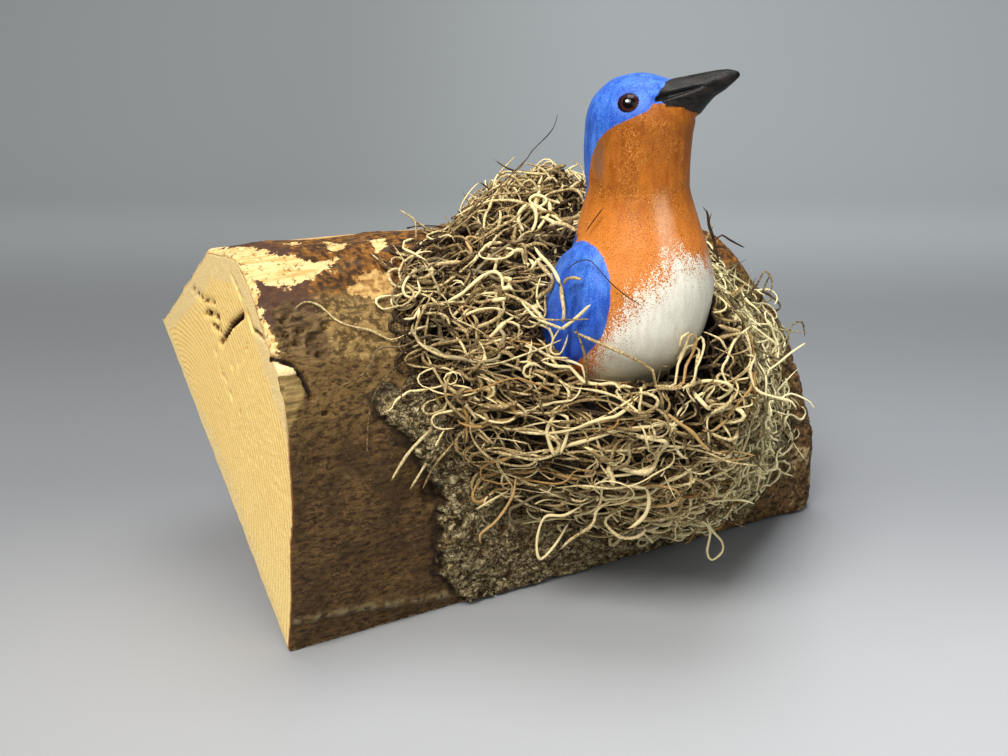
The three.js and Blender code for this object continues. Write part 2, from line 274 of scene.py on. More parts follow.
# %% Sweep the floor up into a backdrop
SHEET_HALF = 2.2
SWEEP_START = 0.75
SWEEP_RADIUS = 0.5
sheet = bmesh.new()
bmesh.ops.create_grid(sheet, x_segments=8, y_segments=120, size=SHEET_HALF)
for vert in sheet.verts:
    run = vert.co.y - SWEEP_START
    if run > 0.0:
        turn = min(run / SWEEP_RADIUS, math.pi / 2)
        rest = max(run - SWEEP_RADIUS * math.pi / 2, 0.0)
        vert.co.y = SWEEP_START + SWEEP_RADIUS * math.sin(turn)
        vert.co.z = SWEEP_RADIUS * (1.0 - math.cos(turn)) + rest
sheet_mesh = bpy.data.meshes.new("floor")
sheet.to_mesh(sheet_mesh)
sheet.free()
sheet_mesh.transform(Matrix.Rotation(CAMERA_HEADING - math.pi / 2, 4, "Z"))
sheet_mesh.transform(Matrix.Translation((0.0, 0.0, -0.0004)))
sheet_mesh.polygons.foreach_set("use_smooth", [True] * len(sheet_mesh.polygons))
floor = bpy.data.objects.new("floor", sheet_mesh)
bpy.context.scene.collection.objects.link(floor)
floor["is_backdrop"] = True

paper = Graph("grey_paper", 0.75)
depth_back = paper.axis(1) * VIEW_NORTH + paper.axis(0) * VIEW_EAST
across = paper.axis(0) * VIEW_NORTH - paper.axis(1) * VIEW_EAST
# The paper's colour holds painted shade: it darkens behind the object towards the bend, gets paler again
# up the backdrop, and its left side is darker.
paper_with_painted_shade = paper.layers(
    paint(172, 174, 178),
    (paper.clouds(60.0), paint(177, 179, 182)),
    (depth_back.step(-150.0, 60.0), paint(138, 141, 146)),
    (depth_back.step(40.0, 280.0), paint(124, 128, 132)),
    (depth_back.step(300.0, 620.0), paint(160, 166, 169)),
    (across.step(180.0, -260.0) * 0.34, paint(66, 62, 55)),
)
sheet_mesh.materials.append(paper.finish(paper_with_painted_shade))
print("floor sheet", len(sheet_mesh.polygons), "faces")


# %% Hang the lamps
def soft_lamp(name, place, target, width, power, colour=(1.0, 1.0, 1.0)):
    """A square soft box at place that faces target."""
    data = bpy.data.lights.new(name, "AREA")
    data.size = width
    data.energy = power
    data.color = colour
    lamp = bpy.data.objects.new(name, data)
    bpy.context.scene.collection.objects.link(lamp)
    lamp.location = place
    lamp.rotation_euler = (Vector(target) - Vector(place)).to_track_quat("-Z", "Y").to_euler()
    print(name, "lamp of", power, "watts")


soft_lamp("key", (-0.85, -0.55, 1.3), (0.0, 0.0, 0.05), 0.6, 30.0, (1.0, 0.97, 0.92))
soft_lamp("overhead", (0.1, 0.1, 1.5), (0.0, 0.0, 0.0), 0.8, 13.0)
soft_lamp("front", (-0.2, -1.4, 0.8), (0.0, 0.0, 0.1), 0.9, 4.0)
world = bpy.data.worlds.new("room")
world.use_nodes = True
world.node_tree.nodes["Background"].inputs["Color"].default_value = (0.75, 0.78, 0.82, 1.0)
world.node_tree.nodes["Background"].inputs["Strength"].default_value = 0.24
bpy.context.scene.world = world

# %% [markdown]
# ## The log's section
#
# A split log is round where it has bark and flat where it was split. Its section is measured at
# both ends: seven points of the bark from the foot's front edge over the top, then the corners of
# the split faces. Everything between comes from blending the two sections and running a smooth
# curve through the bark's points. At the sawn end a corner is missing, cut off by one slanting
# plane from the foot's front edge.

# %% Sections of the log
LOG_LENGTH = 227.0
SAWN_BARK = np.array([
    (0, 0), (-7.6, 32), (-11.8, 64), (-8.5, 88), (4.8, 109.3), (25, 124.5), (54.3, 121.5),
])
FAR_BARK = np.array([(-5, 0), (-8, 24), (-6, 48), (3, 72), (18, 92), (39, 106), (68, 107)])
SAWN_CORNERS = np.array([(113, 84), (88, 0)])
FAR_CORNERS = np.array([(106, 72), (86, 0)])
CUT_LENGTH = 68.2
CUT_LEAN = 1.29
ROUND_OVER = 170.0


def bark_curve(share, along):
    """The bark's y and z. Share blends the two sections, along runs from 0 at the foot to 1."""
    control = SAWN_BARK[None] * (1 - share)[:, None, None] + FAR_BARK[None] * share[:, None, None]
    spans = len(SAWN_BARK) - 1
    first = np.clip(np.floor(along * spans).astype(int), 0, spans - 1)
    part = (along * spans - first)[:, None]
    rows = np.arange(len(share))
    before = control[rows, np.maximum(first - 1, 0)]
    here = control[rows, first]
    after = control[rows, first + 1]
    beyond = control[rows, np.minimum(first + 2, spans)]
    pull = (after - before) / 2
    next_pull = (beyond - here) / 2
    cubic = 2 * here - 2 * after + pull + next_pull
    square = -3 * here + 3 * after - 2 * pull - next_pull
    return cubic * part ** 3 + square * part ** 2 + pull * part + here


def bark_normal(share, along):
    """The direction straight out of the bark, as y and z."""
    small = 0.002
    low = np.clip(along - small, 0, 1)
    high = np.clip(along + small, 0, 1)
    run = bark_curve(share, high) - bark_curve(share, low)
    run /= np.linalg.norm(run, axis=1)[:, None]
    return np.stack([-run[:, 1], run[:, 0]], axis=1)


# %% Blends, distances and depths
def blend(first, last, share):
    """Goes from the first place to the last as share goes from 0 to 1."""
    return first[None] * (1 - share)[:, None] + last[None] * share[:, None]


def line_distance(across, up, points):
    """How far each place is from a line of joined points."""
    best = np.full(len(across), 1e9)
    for (ax, ay), (bx, by) in zip(points[:-1], points[1:]):
        run = np.array([bx - ax, by - ay])
        share = ((across - ax) * run[0] + (up - ay) * run[1]) / max(run @ run, 1e-9)
        share = np.clip(share, 0, 1)
        best = np.minimum(best, np.hypot(across - ax - share * run[0], up - ay - share * run[1]))
    return best


def depth_inside(across, up, outline):
    """How far inside an outline each place is, in the outline's own unit; below nought outside."""
    inside = np.zeros(len(across), bool)
    closed = outline + outline[:1]
    for (ax, ay), (bx, by) in zip(closed[:-1], closed[1:]):
        crosses = (ay > up) != (by > up)
        slope = (bx - ax) / (by - ay) if by != ay else 0.0
        inside ^= crosses & (across < ax + (up - ay) * slope)
    distance = line_distance(across, up, closed)
    return np.where(inside, distance, -distance)


# %% [markdown]
# ## Where the bark is worn
#
# Bark is not one finish. Near the sawn end it has come off and shows pale wood, with rotten holes
# under it; lower down smooth inner bark is bare, and a thick grey plate of old bark still sits in
# front of the nest. Each area is an outline on the unrolled bark: millimetres along the log, and
# millimetres round it from the foot. How far inside an outline a point lies is kept on the mesh,
# so that the material can roughen the borders finely.

# %% Areas of the bark, along and round
PALE_WOOD = [
    (-8, 172), (7, 172), (8, 158), (11, 148), (13, 142), (17, 139), (22, 134.5), (29, 133), (36, 136),
    (31, 131), (23, 127), (15, 124.5), (10, 124), (6, 126), (3, 128), (1.5, 120), (1.5, 112), (3, 108),
    (2.2, 102), (1.5, 97), (-8, 97),
]
PALE_BLOCK = [(-6, 98), (1, 98), (6.5, 95.5), (6.5, 93), (0, 93.5), (-1, 89), (-6, 87)]
TAN_PATCH = [(51, 127), (42, 127), (35, 122), (32, 119), (37, 117), (42, 116), (50, 117)]
TOP_PATCHES = [
    [(33, 138), (38, 140), (45, 147), (41, 151), (36, 149)],
    [(50, 136), (56, 139), (58, 146), (52, 146)],
    [(22, 146), (27, 147), (27, 151), (21, 150)],
]
OLIVE_WOOD = [(-6, 93), (-2, 94), (6, 94), (8.5, 90), (6, 84), (1.5, 76), (-2, 70), (-6, 70)]
ROTTEN_WOOD = [(4, 117), (10, 119), (15, 114), (20, 106), (21, 98), (13, 96), (7, 99), (4, 108)]
GREY_WOOD = [(9, 119), (24, 120), (36, 116), (60, 114), (60, 92), (34, 92), (20, 97), (14, 105)]
DARK_CRACK = [(-1, 101), (3, 98.5), (6, 95.5), (8, 91), (9, 86)]
ROT_HOLES = [
    (8.3, 113, 1.7), (12, 108, 1.5), (15, 103, 2.4), (17, 99, 1.8), (10, 104, 1.6), (7, 107, 1.3),
    (20, 108, 1.2), (22.8, 114, 0.9), (9, 84, 1.1), (13, 78, 0.9),
]
LOW_RIDGE = [(2, 12.5), (15.5, 11.3), (27.7, 9.4), (38.7, 8.0), (54.1, 5.3), (66, 4.6)]
PLATE_EDGE = np.array([
    (0, 66), (7, 60), (15, 53), (38, 50), (45, 53), (54, 47), (63, 44), (72, 37), (80, 30),
])
PLATE_RISE = 3.4
PLATE_VOID = (49.5, 48.5)

# %% [markdown]
# ## The log's mesh
#
# A grid is the easiest start for a thing that is a tube with two lids: its columns run from the
# middle of the sawn end over its rim, along the log and in to the middle of the far end, and its
# rows run once round. Each corner of the grid is moved to its place, and merging the doubles
# closes the seam and both middles. The rows lie close together only on the bark, where the relief
# is.

# %% Starting a piece from a grid
def places_of(mesh, kind="co"):
    """The places or normals of a mesh's corners, as rows of x, y and z."""
    numbers = np.empty(len(mesh.vertices) * 3)
    mesh.vertices.foreach_get(kind, numbers)
    return numbers.reshape(-1, 3)


def grid_mesh(name, columns, rows):
    """A flat grid, and for each of its corners the column and the row."""
    cells = bmesh.new()
    bmesh.ops.create_grid(cells, x_segments=columns, y_segments=rows, size=1.0)
    mesh = bpy.data.meshes.new(name)
    cells.to_mesh(mesh)
    cells.free()
    spots = places_of(mesh)
    column = np.rint((spots[:, 0] + 1) / 2 * columns).astype(int)
    row = np.rint((spots[:, 1] + 1) / 2 * rows).astype(int)
    print(name, "starts with", len(spots), "corners")
    return mesh, spots, column, row


# %% Columns and rows of the log
FACE_MIDDLE = np.array([34.0, 66.0])
FAR_MIDDLE = np.array([40.0, 50.0])
END_SLANT = 0.16
END_ROUNDING = 11.0
lid_in = (np.arange(46, 0, -1) / 46.0) ** 1.3
fine_x = np.concatenate([[0.0, 0.3], np.arange(0.8, 88.0, 0.64)])
coarse_x = np.arange(88.6, 214.0, 2.1)
round_x = LOG_LENGTH - END_ROUNDING * (1 - np.sin(np.linspace(0.0, math.pi / 2, 11)))
lid_out = np.linspace(0.08, 1.0, 13)
column_x = np.concatenate([
    np.zeros(len(lid_in)), fine_x, coarse_x, round_x, np.full(len(lid_out), LOG_LENGTH),
])
column_in = np.concatenate([lid_in, np.zeros(len(fine_x) + len(coarse_x) + len(round_x)), lid_out])
SIDE_ROWS = (250, 24, 24, 48)
LAST_ROWS = 25
row_part = np.repeat(range(5), (*SIDE_ROWS, LAST_ROWS))
row_share = np.concatenate([
    *(np.arange(rows) / rows for rows in SIDE_ROWS), np.linspace(0, 1, LAST_ROWS),
])
log_mesh, flat, column, row = grid_mesh("log_wood", len(column_x) - 1, len(row_part) - 1)

# %% Put the grid's corners on the log
x = column_x[column]
inward = column_in[column]
part = row_part[row]
share_round = row_share[row]
taper = (x / LOG_LENGTH) ** 2
on_bark = part == 0
along = np.where(on_bark, share_round, np.where(part == 4, 0.0, 1.0))
edge = blend(SAWN_CORNERS[0], FAR_CORNERS[0], taper)
foot = blend(SAWN_CORNERS[1], FAR_CORNERS[1], taper)
cut = np.clip(1.0 - x / CUT_LENGTH, 0.0, 1.0)[:, None]
cut_foot = np.stack([np.minimum(CUT_LEAN * x, foot[:, 0]), np.zeros(len(x))], axis=1)
cut_top = np.where(cut > 0, cut_foot + cut * SAWN_CORNERS[0], foot)
bark_end = bark_curve(taper, np.ones(len(x)))
bark_foot = bark_curve(taper, np.zeros(len(x)))
section = bark_curve(taper, along)
split_size = np.zeros(len(x))
for number, (start, stop) in enumerate(
    [(bark_end, edge), (edge, cut_top), (cut_top, cut_foot), (cut_foot, bark_foot)], start=1
):
    split_size = np.where(part == number, np.linalg.norm(stop - start, axis=1), split_size)
    line = start + (stop - start) * share_round[:, None]
    section = np.where((part == number)[:, None], line, section)
normal = bark_normal(taper, along)
round_mm = along * ROUND_OVER
print("section at the sawn end spans", section[x == 0].min(axis=0), section[x == 0].max(axis=0))

# %% [markdown]
# ## Relief of the bark
#
# The plate is a step in the bark with a torn edge, so its border is its outline plus noise, and
# the step is narrow. Ridged noise, which is noise folded at nought, gives the fissures of old
# bark. Rotten holes go in, and cracks are lines that are cut in by their distance.

# %% Raise the plate of bark
FISSURE_DEPTH = 1.5
VOID_DEPTH = 3.4
unrolled = np.stack([x, round_mm, np.zeros(len(x))], axis=1)
wide_noise = noise_field(unrolled, 14.0, 3, 1.0)
noise_5 = noise_field(unrolled, 5.0, 3, 2.0)
noise_2 = noise_field(unrolled * (0.6, 1.0, 1.0), 2.2, 3, 3.0)
height_z = section[:, 1]
plate_line = np.interp(height_z, PLATE_EDGE[:, 0], PLATE_EDGE[:, 1])
ragged = x - plate_line + 2.6 * noise_5 + 1.2 * noise_2
plate_fade = 1 - smoothstep(height_z + 5.0 * noise_5, 76, 92)
plate_side = smoothstep(ragged, -0.4, 1.6) * plate_fade
ridged = 1 - np.abs(noise_field(unrolled * (0.45, 1.0, 1.0), 4.2, 3, 5.0)) * 2.4
fissures = smoothstep(ridged, 0.55, 0.98)
crumbs = noise_field(unrolled, 1.5, 2, 7.0)
end_bark = smoothstep(x + 3.0 * noise_5, 184, 196)
rough_share = np.clip(plate_side * (1 - smoothstep(x, 150, 190)) + 0.6 * end_bark, 0, 1)
relief = (PLATE_RISE + 0.5 * wide_noise) * plate_side
relief += rough_share * (0.75 * noise_5 + 0.4 * crumbs - FISSURE_DEPTH * fissures)
waves = np.sin(0.11 * x + 0.05 * height_z) * np.sin(0.13 * height_z - 0.04 * x)
relief += 0.9 * waves * smoothstep(height_z, 0, 14)
void = np.hypot(x - PLATE_VOID[0], (height_z - PLATE_VOID[1]) * 0.8) + 1.3 * noise_2
relief -= VOID_DEPTH * (1 - smoothstep(void, 1.5, 5.0))
print("the plate stands out by", round(relief.max(), 2), "mm at most")

# %% Cut the bare patches, the rot and the crack
WORN_DEPTH = 0.7
BLOCK_RISE = 0.7
TAN_DEPTH = 0.5
HOLE_DEPTH = 2.2
CRACK_DEPTH = 2.0
RIDGE_RISE = 1.1
pale = np.max([depth_inside(x, round_mm, outline) for outline in (PALE_WOOD, *TOP_PATCHES)], axis=0)
block, tan_patch, olive, rotten, grey_wood = (
    depth_inside(x, round_mm, outline)
    for outline in (PALE_BLOCK, TAN_PATCH, OLIVE_WOOD, ROTTEN_WOOD, GREY_WOOD)
)
pale_edge = pale + 1.1 * noise_2 + 0.9 * noise_5
relief -= WORN_DEPTH * smoothstep(pale_edge, -0.2, 0.7) * smoothstep(x, 0.5, 3)
relief += BLOCK_RISE * smoothstep(block + 0.6 * noise_2, -0.3, 0.6)
relief -= TAN_DEPTH * smoothstep(tan_patch + 1.2 * noise_5, -0.5, 0.6)
rot_share = smoothstep(rotten + 2.0 * noise_5, -1.0, 3.0)
fibres = noise_field(unrolled * (0.35, 1.0, 1.0), 2.0, 3, 11.0)
relief += rot_share * (1.5 * fibres - 1.2)
for hole_x, hole_round, radius in ROT_HOLES:
    reach = np.hypot((x - hole_x) * 0.8, round_mm - hole_round) + 0.7 * noise_2
    relief -= HOLE_DEPTH * (1 - smoothstep(reach, radius * 0.5, radius * 1.25))
crack = line_distance(x, round_mm, DARK_CRACK) + 0.5 * noise_2
relief -= CRACK_DEPTH * (1 - smoothstep(crack, 0.3, 1.5))
ridge = line_distance(x, height_z, LOW_RIDGE) + 0.8 * noise_5
relief += RIDGE_RISE * (1 - smoothstep(ridge, 0.2, 2.2))
relief += 0.25 * noise_2 + 0.35 * wide_noise
relief *= smoothstep(round_mm, 0.0, 3.0)
print("bark relief from", round(relief.min(), 2), "to", round(relief.max(), 2), "mm")

# %% [markdown]
# ## The sawn end
#
# Seen close, a sawn end is not flat: the saw left its edge a little broken, drying opened short
# cracks, and on the bark side a band of bare sapwood is worn round. The band is made by drawing
# the rim in, and the cracks by pushing the face in along lines and at pits.

# %% Round the rim
RIM_LENGTH = 3.2
RIM_LEAST = 0.5
RIM_WORN = 1.9
SPLIT_OUT = np.array([(0.0, 0.0), (0.5, 0.87), (0.96, -0.29), (0.6, -0.8), (0.0, 0.0)])
rim_high = smoothstep(round_mm + 4 * noise_5, 84, 100) * (on_bark | (part == 1))
rim_depth = RIM_LEAST + RIM_WORN * rim_high + 0.5 * noise_5
rim_depth = np.where((on_bark | (part == 1)) & (round_mm != 0.0), rim_depth, RIM_LEAST)
near_end = np.clip(1 - x / RIM_LENGTH, 0, 1)
rim_inset = rim_depth * (1 - np.sqrt(np.clip(1 - near_end ** 2, 0, 1))) * (x < RIM_LENGTH)
placed = section + np.where(on_bark[:, None], normal, 0.0) * relief[:, None]
split_places = np.stack([x, section[:, 0], section[:, 1]], axis=1) * (0.25, 1, 1)
back_noise = noise_field(split_places, 3.0, 3, 13.0)
split_middle = (1 - np.abs(share_round * 2 - 1) ** 6) * smoothstep(split_size, 0, 12)
placed += SPLIT_OUT[part] * (0.8 * back_noise * split_middle)[:, None]
middle = blend(FACE_MIDDLE, FAR_MIDDLE, taper)
far_run = np.clip((x - (LOG_LENGTH - END_ROUNDING)) / END_ROUNDING, 0, 1)
far_inset = END_ROUNDING * (1 - np.sqrt(1 - far_run ** 2))
for inset in (rim_inset, far_inset):
    to_middle = middle - placed
    reach = np.linalg.norm(to_middle, axis=1)
    placed += to_middle / reach[:, None] * inset[:, None]
placed += (middle - placed) * inward[:, None]
print("the rim is drawn in by", round(rim_inset.max(), 2), "mm at most")

# %% Crack and pit the sawn end
END_CRACKS = [
    ([(70.8, 104.9), (59.6, 103.2), (48.0, 105.1)], 0.7, 1.2),
    ([(59.6, 98.7), (52, 100.2), (45.1, 100.4)], 1.0, 2.2),
    ([(53.1, 96.1), (44.1, 96.3)], 0.9, 2.0),
    ([(41.6, 94.5), (33.6, 100.5), (21.4, 107.0)], 1.1, 2.4),
    ([(46.0, 92.0), (41.6, 94.5)], 1.0, 1.5),
    ([(17.0, 108.5), (13.3, 104.2), (2.5, 103.8), (-1.0, 98.9)], 0.8, 1.6),
    ([(30, 118), (22, 112.5)], 0.6, 1.0),
]
PIT_DEPTH = 1.4
END_PITS = [
    (51.1, 87.3, 1.0), (46.4, 81.6, 0.9), (43.0, 79.5, 0.8), (38.9, 75.4, 1.0), (31.0, 72.3, 0.8),
    (27.0, 66.0, 0.6), (36.0, 86.0, 0.9), (29.5, 88.0, 0.8), (24.0, 92.0, 0.8), (20.0, 97.0, 0.9),
]
on_end = (x == 0) & (inward > 0)
end_noise = noise_field(np.stack([placed[:, 0], placed[:, 1], x], axis=1), 2.2, 3, 17.0)
sink = 0.16 * end_noise
for line, width, depth in END_CRACKS:
    gap = line_distance(placed[:, 0], placed[:, 1], line) + 0.35 * end_noise
    sink = sink + depth * (1 - smoothstep(gap, width * 0.35, width * 1.2))
for pit_y, pit_z, radius in END_PITS:
    gap = np.hypot(placed[:, 0] - pit_y, placed[:, 1] - pit_z) + 0.3 * end_noise
    sink = sink + PIT_DEPTH * (1 - smoothstep(gap, radius * 0.4, radius * 1.2))
rim_near = 1 - smoothstep(inward * 60.0, 0.0, 3.0)
placed_x = x + np.where(on_end, sink * (1 - 0.7 * rim_near), 0.0)
placed_x -= END_SLANT * placed[:, 1] * x / LOG_LENGTH
flat[:, 0] = placed_x
flat[:, 1] = placed[:, 0]
flat[:, 2] = np.maximum(placed[:, 1], 0.0)
log_mesh.vertices.foreach_set("co", flat.ravel())
print("the deepest crack is", round(sink.max(), 2), "mm")


# %% [markdown]
# ## From numbers to a piece
#
# Three small functions finish every mesh here. The first stores a number for each point, which a
# material reads by its name. The second merges what lies on the same place and turns the faces
# out. The third moves the mesh into the frame and hides the plain solid it stands for, if any.

# %% Store numbers, close a mesh and place it
def keep(mesh, name, values):
    """Stores one number for each point of a mesh, for its material."""
    layer = mesh.attributes.new(name, "FLOAT", "POINT")
    layer.data.foreach_set("value", np.ascontiguousarray(values, dtype=np.float32))


def close_mesh(mesh, gap=0.0001):
    """Merges doubles, drops what collapsed and turns all faces outwards."""
    shell = bmesh.new()
    shell.from_mesh(mesh)
    bmesh.ops.remove_doubles(shell, verts=shell.verts[:], dist=gap)
    bmesh.ops.dissolve_degenerate(shell, dist=gap / 10, edges=shell.edges[:])
    bmesh.ops.recalc_face_normals(shell, faces=shell.faces[:])
    open_edges = sum(1 for item in shell.edges if not item.is_manifold)
    shell.to_mesh(mesh)
    shell.free()
    mesh.polygons.foreach_set("use_smooth", [True] * len(mesh.polygons))
    return open_edges


def place_piece(mesh, node):
    """Puts a finished mesh into the frame's metres and hides the plain solid that it replaces."""
    mesh.transform(TO_FRAME)
    piece = bpy.data.objects.new(mesh.name, mesh)
    bpy.context.scene.collection.objects.link(piece)
    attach(piece, "root")
    if node:
        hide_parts(node)
    mesh.calc_loop_triangles()
    print(mesh.name, "has", len(mesh.loop_triangles), "triangles")


# %% Store the log's areas and close it
bark_only = on_bark & (inward == 0)
keep(log_mesh, "sawn", (x == 0) * 1.0)
keep(log_mesh, "sunk", np.where(on_end, sink, 0.0))
keep(log_mesh, "far_end", ((inward > 0) & (x > 1)) * 1.0)
keep(log_mesh, "split", ((part > 0) & (x > 0)) * 1.0)
keep(log_mesh, "round", round_mm)
keep(log_mesh, "rim", np.where(x == 0, np.linalg.norm(middle - section, axis=1) * inward, -x))
keep(log_mesh, "plate", np.where(bark_only, np.minimum(ragged, 40 * (plate_fade - 0.25)), -20))
keep(log_mesh, "relief", relief)
for name, values in (
    ("pale", pale), ("block", block), ("tan_patch", tan_patch), ("olive", olive), ("rotten", rotten),
    ("grey_wood", grey_wood), ("crack", crack), ("ridge", ridge),
):
    keep(log_mesh, name, values)
print("open edges on the log", close_mesh(log_mesh))
place_piece(log_mesh, "log")

# %% [markdown]
# ## Colours of the log
#
# Each area's depth inside its outline comes in as a number. Fine noise is added to it before it is
# turned into a mask, so that a border is ragged at a scale far below the mesh. The sawn end shows
# growth rings as circles round the tree's middle, which lies outside this piece of it.

# %% Noise and areas of the log
wood = Graph("split_log", 0.8)
wood.shader.inputs["Specular IOR Level"].default_value = 0.15
east = wood.axis(0) + FOOT_CENTRE[0]
north = wood.axis(1) + FOOT_CENTRE[1]
up = wood.axis(2)
round_about = wood.attribute("round")
fine = wood.clouds(0.9, 3.0)
small = wood.clouds(2.6, 4.0)
broad = wood.clouds(11.0, 4.0)
pores = wood.clouds(0.45, 2.0)
streak = wood.clouds(1.6, 4.0, scale=(0.09, 1.0, 1.0))
long_streak = wood.clouds(5.0, 3.0, scale=(0.12, 1.0, 1.0))
scales = wood.clouds(1.3, 4.0, 0.65, scale=(0.5, 1.0, 1.0), bend=0.6)
crust = wood.clouds(2.4, 5.0, 0.75, bend=0.8)
furrows = (wood.clouds(3.6, 4.0, 0.6, scale=(0.5, 1.0, 1.0), bend=0.5) - 0.5).size()
edge_noise = (small - 0.5) * 4.0 + (fine - 0.5) * 1.6


def area(name, raggedness, low, high):
    """A mask of a measured area: 0 where its depth is low, 1 where it is high."""
    return (wood.attribute(name) + edge_noise * raggedness).step(low, high)


print("noise and places take", len(wood.tree.nodes), "nodes")

# %% Growth rings and the sawn end
PITH_NORTH, PITH_UP = 87.0, 37.0
RING_WIDTH = 2.1
FINE_RING_WIDTH = 0.7
from_pith = north - PITH_NORTH
over_pith = up - PITH_UP
ring_radius = (from_pith * from_pith + over_pith * over_pith).root()
bent_radius = ring_radius + (wood.clouds(24.0, 1.0) - 0.5) * 5.0 + (small - 0.5) * 0.5
rings = (bent_radius * (2 * math.pi / RING_WIDTH)).sine() * 0.5 + 0.5
fine_rings = (bent_radius * (2 * math.pi / FINE_RING_WIDTH) + small * 3.0).sine() * 0.5 + 0.5
grain = rings.step(0.4, 1.0) * (0.26 + broad * 0.5) + fine_rings * 0.12 + (pores - 0.5) * 1.1
rim = wood.attribute("rim")
upper = round_about.step(62.0, 92.0)
cream = (rim + edge_noise * 0.5 - upper * 6.5).step(2.2, 0.6)
cream_colour = wood.mix(pores.step(0.4, 0.65), paint(246, 222, 162), paint(226, 188, 118))
bark_line = (rim + edge_noise * 0.35).step(1.4, 0.4) * (1 - upper)
sunk = wood.attribute("sunk") + (fine - 0.5) * 0.5
end_colour = wood.layers(
    paint(255, 224, 142),
    (grain.step(0.0, 1.0), paint(216, 156, 80)),
    # Low down the sawn end is made paler: painted light that lifts its lower part.
    (up.step(70.0, 0.0) * 0.3, paint(255, 234, 168)),
    (pores.step(0.58, 0.72) * 0.45, paint(196, 136, 72)),
    (pores.step(0.42, 0.28) * 0.4, paint(255, 238, 186)),
    (cream, cream_colour),
    (bark_line, paint(138, 84, 42)),
    # Cracks and pits are darkened by how deep they are sunk: painted shade in them.
    (sunk.step(0.35, 0.8) * 0.85, paint(122, 76, 38)),
    (sunk.step(0.9, 1.5), paint(52, 30, 16)),
)
print("with the sawn end", len(wood.tree.nodes), "nodes")

# %% Bark of the front and of the top
grey = wood.layers(
    paint(84, 64, 34),
    (small.step(0.4, 0.6), paint(146, 118, 70)),
    (streak.step(0.52, 0.66) * 0.7, paint(56, 42, 26)),
    ((fine + scales).step(1.08, 1.24) * 0.6, paint(190, 162, 112)),
)
olive_shade = (round_about + edge_noise * 3).step(60.0, 82.0)
inner = wood.layers(
    paint(48, 32, 18),
    (scales.step(0.32, 0.66), paint(108, 82, 50)),
    (streak.step(0.5, 0.68) * 0.4, paint(124, 96, 60)),
    (broad.step(0.45, 0.6) * 0.5, paint(56, 42, 26)),
    ((fine + small).step(1.16, 1.3) * 0.4, paint(150, 122, 82)),
    (olive_shade * scales.step(0.38, 0.6) * 0.7, paint(118, 94, 52)),
    (area("grey_wood", 2.0, -2.0, 4.0), grey),
)
top = wood.layers(
    paint(62, 42, 24),
    (small.step(0.38, 0.6), paint(136, 88, 36)),
    (streak.step(0.5, 0.68) * 0.75, paint(50, 38, 28)),
    (broad.step(0.5, 0.65) * 0.5, paint(92, 76, 54)),
    ((fine + small).step(1.14, 1.3) * 0.7, paint(196, 152, 84)),
)
print("with the bark", len(wood.tree.nodes), "nodes")

# %% Patches in the bark
rot = wood.mix(streak.step(0.3, 0.65), paint(50, 36, 24), paint(118, 94, 60))
olive_wood = wood.mix(streak.step(0.3, 0.7), paint(92, 74, 40), paint(158, 132, 82))
tan = wood.mix(small.step(0.35, 0.65), paint(140, 98, 52), paint(206, 168, 104))
lichen = wood.mix(small.step(0.3, 0.7), paint(72, 60, 42), paint(124, 112, 82))
pale_wood = wood.layers(
    paint(196, 152, 84),
    (streak.step(0.3, 0.65), paint(234, 204, 144)),
    ((small + fine).step(0.92, 0.8) * 0.8, paint(124, 80, 38)),
)
pale_mask = (wood.attribute("pale") + edge_noise * 1.7 + (streak - 0.5) * 3.0).step(-0.2, 0.5)
shadow_wood = (east + edge_noise).step(22.0, 14.0) * (round_about + edge_noise).step(108.0, 112.0)
bark = wood.layers(
    inner,
    ((round_about + edge_noise * 2).step(117.0, 123.0), top),
    (shadow_wood * 0.8, paint(72, 50, 40)),
    (area("rotten", 1.0, -1.0, 1.5), rot),
    (area("olive", 1.0, -1.0, 1.0), olive_wood),
    (area("tan_patch", 2.2, -0.4, 0.7), tan),
    (pale_mask, pale_wood),
    (area("block", 0.4, -0.3, 0.3), paint(240, 214, 156)),
    # The cut-in crack is painted near black: painted shade in it.
    (wood.attribute("crack").step(1.3, 0.5), paint(34, 22, 15)),
    (area("ridge", 0.9, 2.6, 0.6) * small.step(0.4, 0.56), lichen),
)
print("with the patches", len(wood.tree.nodes), "nodes")

# %% The plate of outer bark
red_bark = wood.layers(
    paint(62, 45, 26),
    (small.step(0.4, 0.6), paint(130, 98, 60)),
    (crust.step(0.5, 0.62) * 0.6, paint(84, 66, 42)),
    ((crust + fine).step(1.1, 1.25) * 0.7, paint(176, 150, 106)),
    (broad.step(0.55, 0.62) * small.step(0.46, 0.54), paint(190, 166, 118)),
)
plate_colour = wood.layers(
    paint(56, 43, 25),
    (crust.step(0.4, 0.6), paint(172, 152, 106)),
    (broad.step(0.45, 0.58) * 0.45, paint(100, 76, 44)),
    ((crust + fine).step(1.04, 1.18) * 0.85, paint(204, 192, 154)),
    # Furrows and the plate's low spots, the void among them, are darkened: painted shade in the hollows.
    (furrows.step(0.03, 0.008) * 0.85, paint(34, 24, 15)),
    (wood.attribute("relief").step(2.6, 0.8) * 0.75, paint(38, 28, 18)),
    ((east + edge_noise * 3).step(160.0, 176.0), red_bark),
)
plate_line = wood.attribute("plate") + edge_noise * 0.3
# A dark band along the plate's torn edge is painted shadow that the raised plate casts on the bark
# beside it.
plate_foot_shadow = (plate_line + small * 4.0).step(-1.5, 1.5) * 0.8
print("with the plate", len(wood.tree.nodes), "nodes")

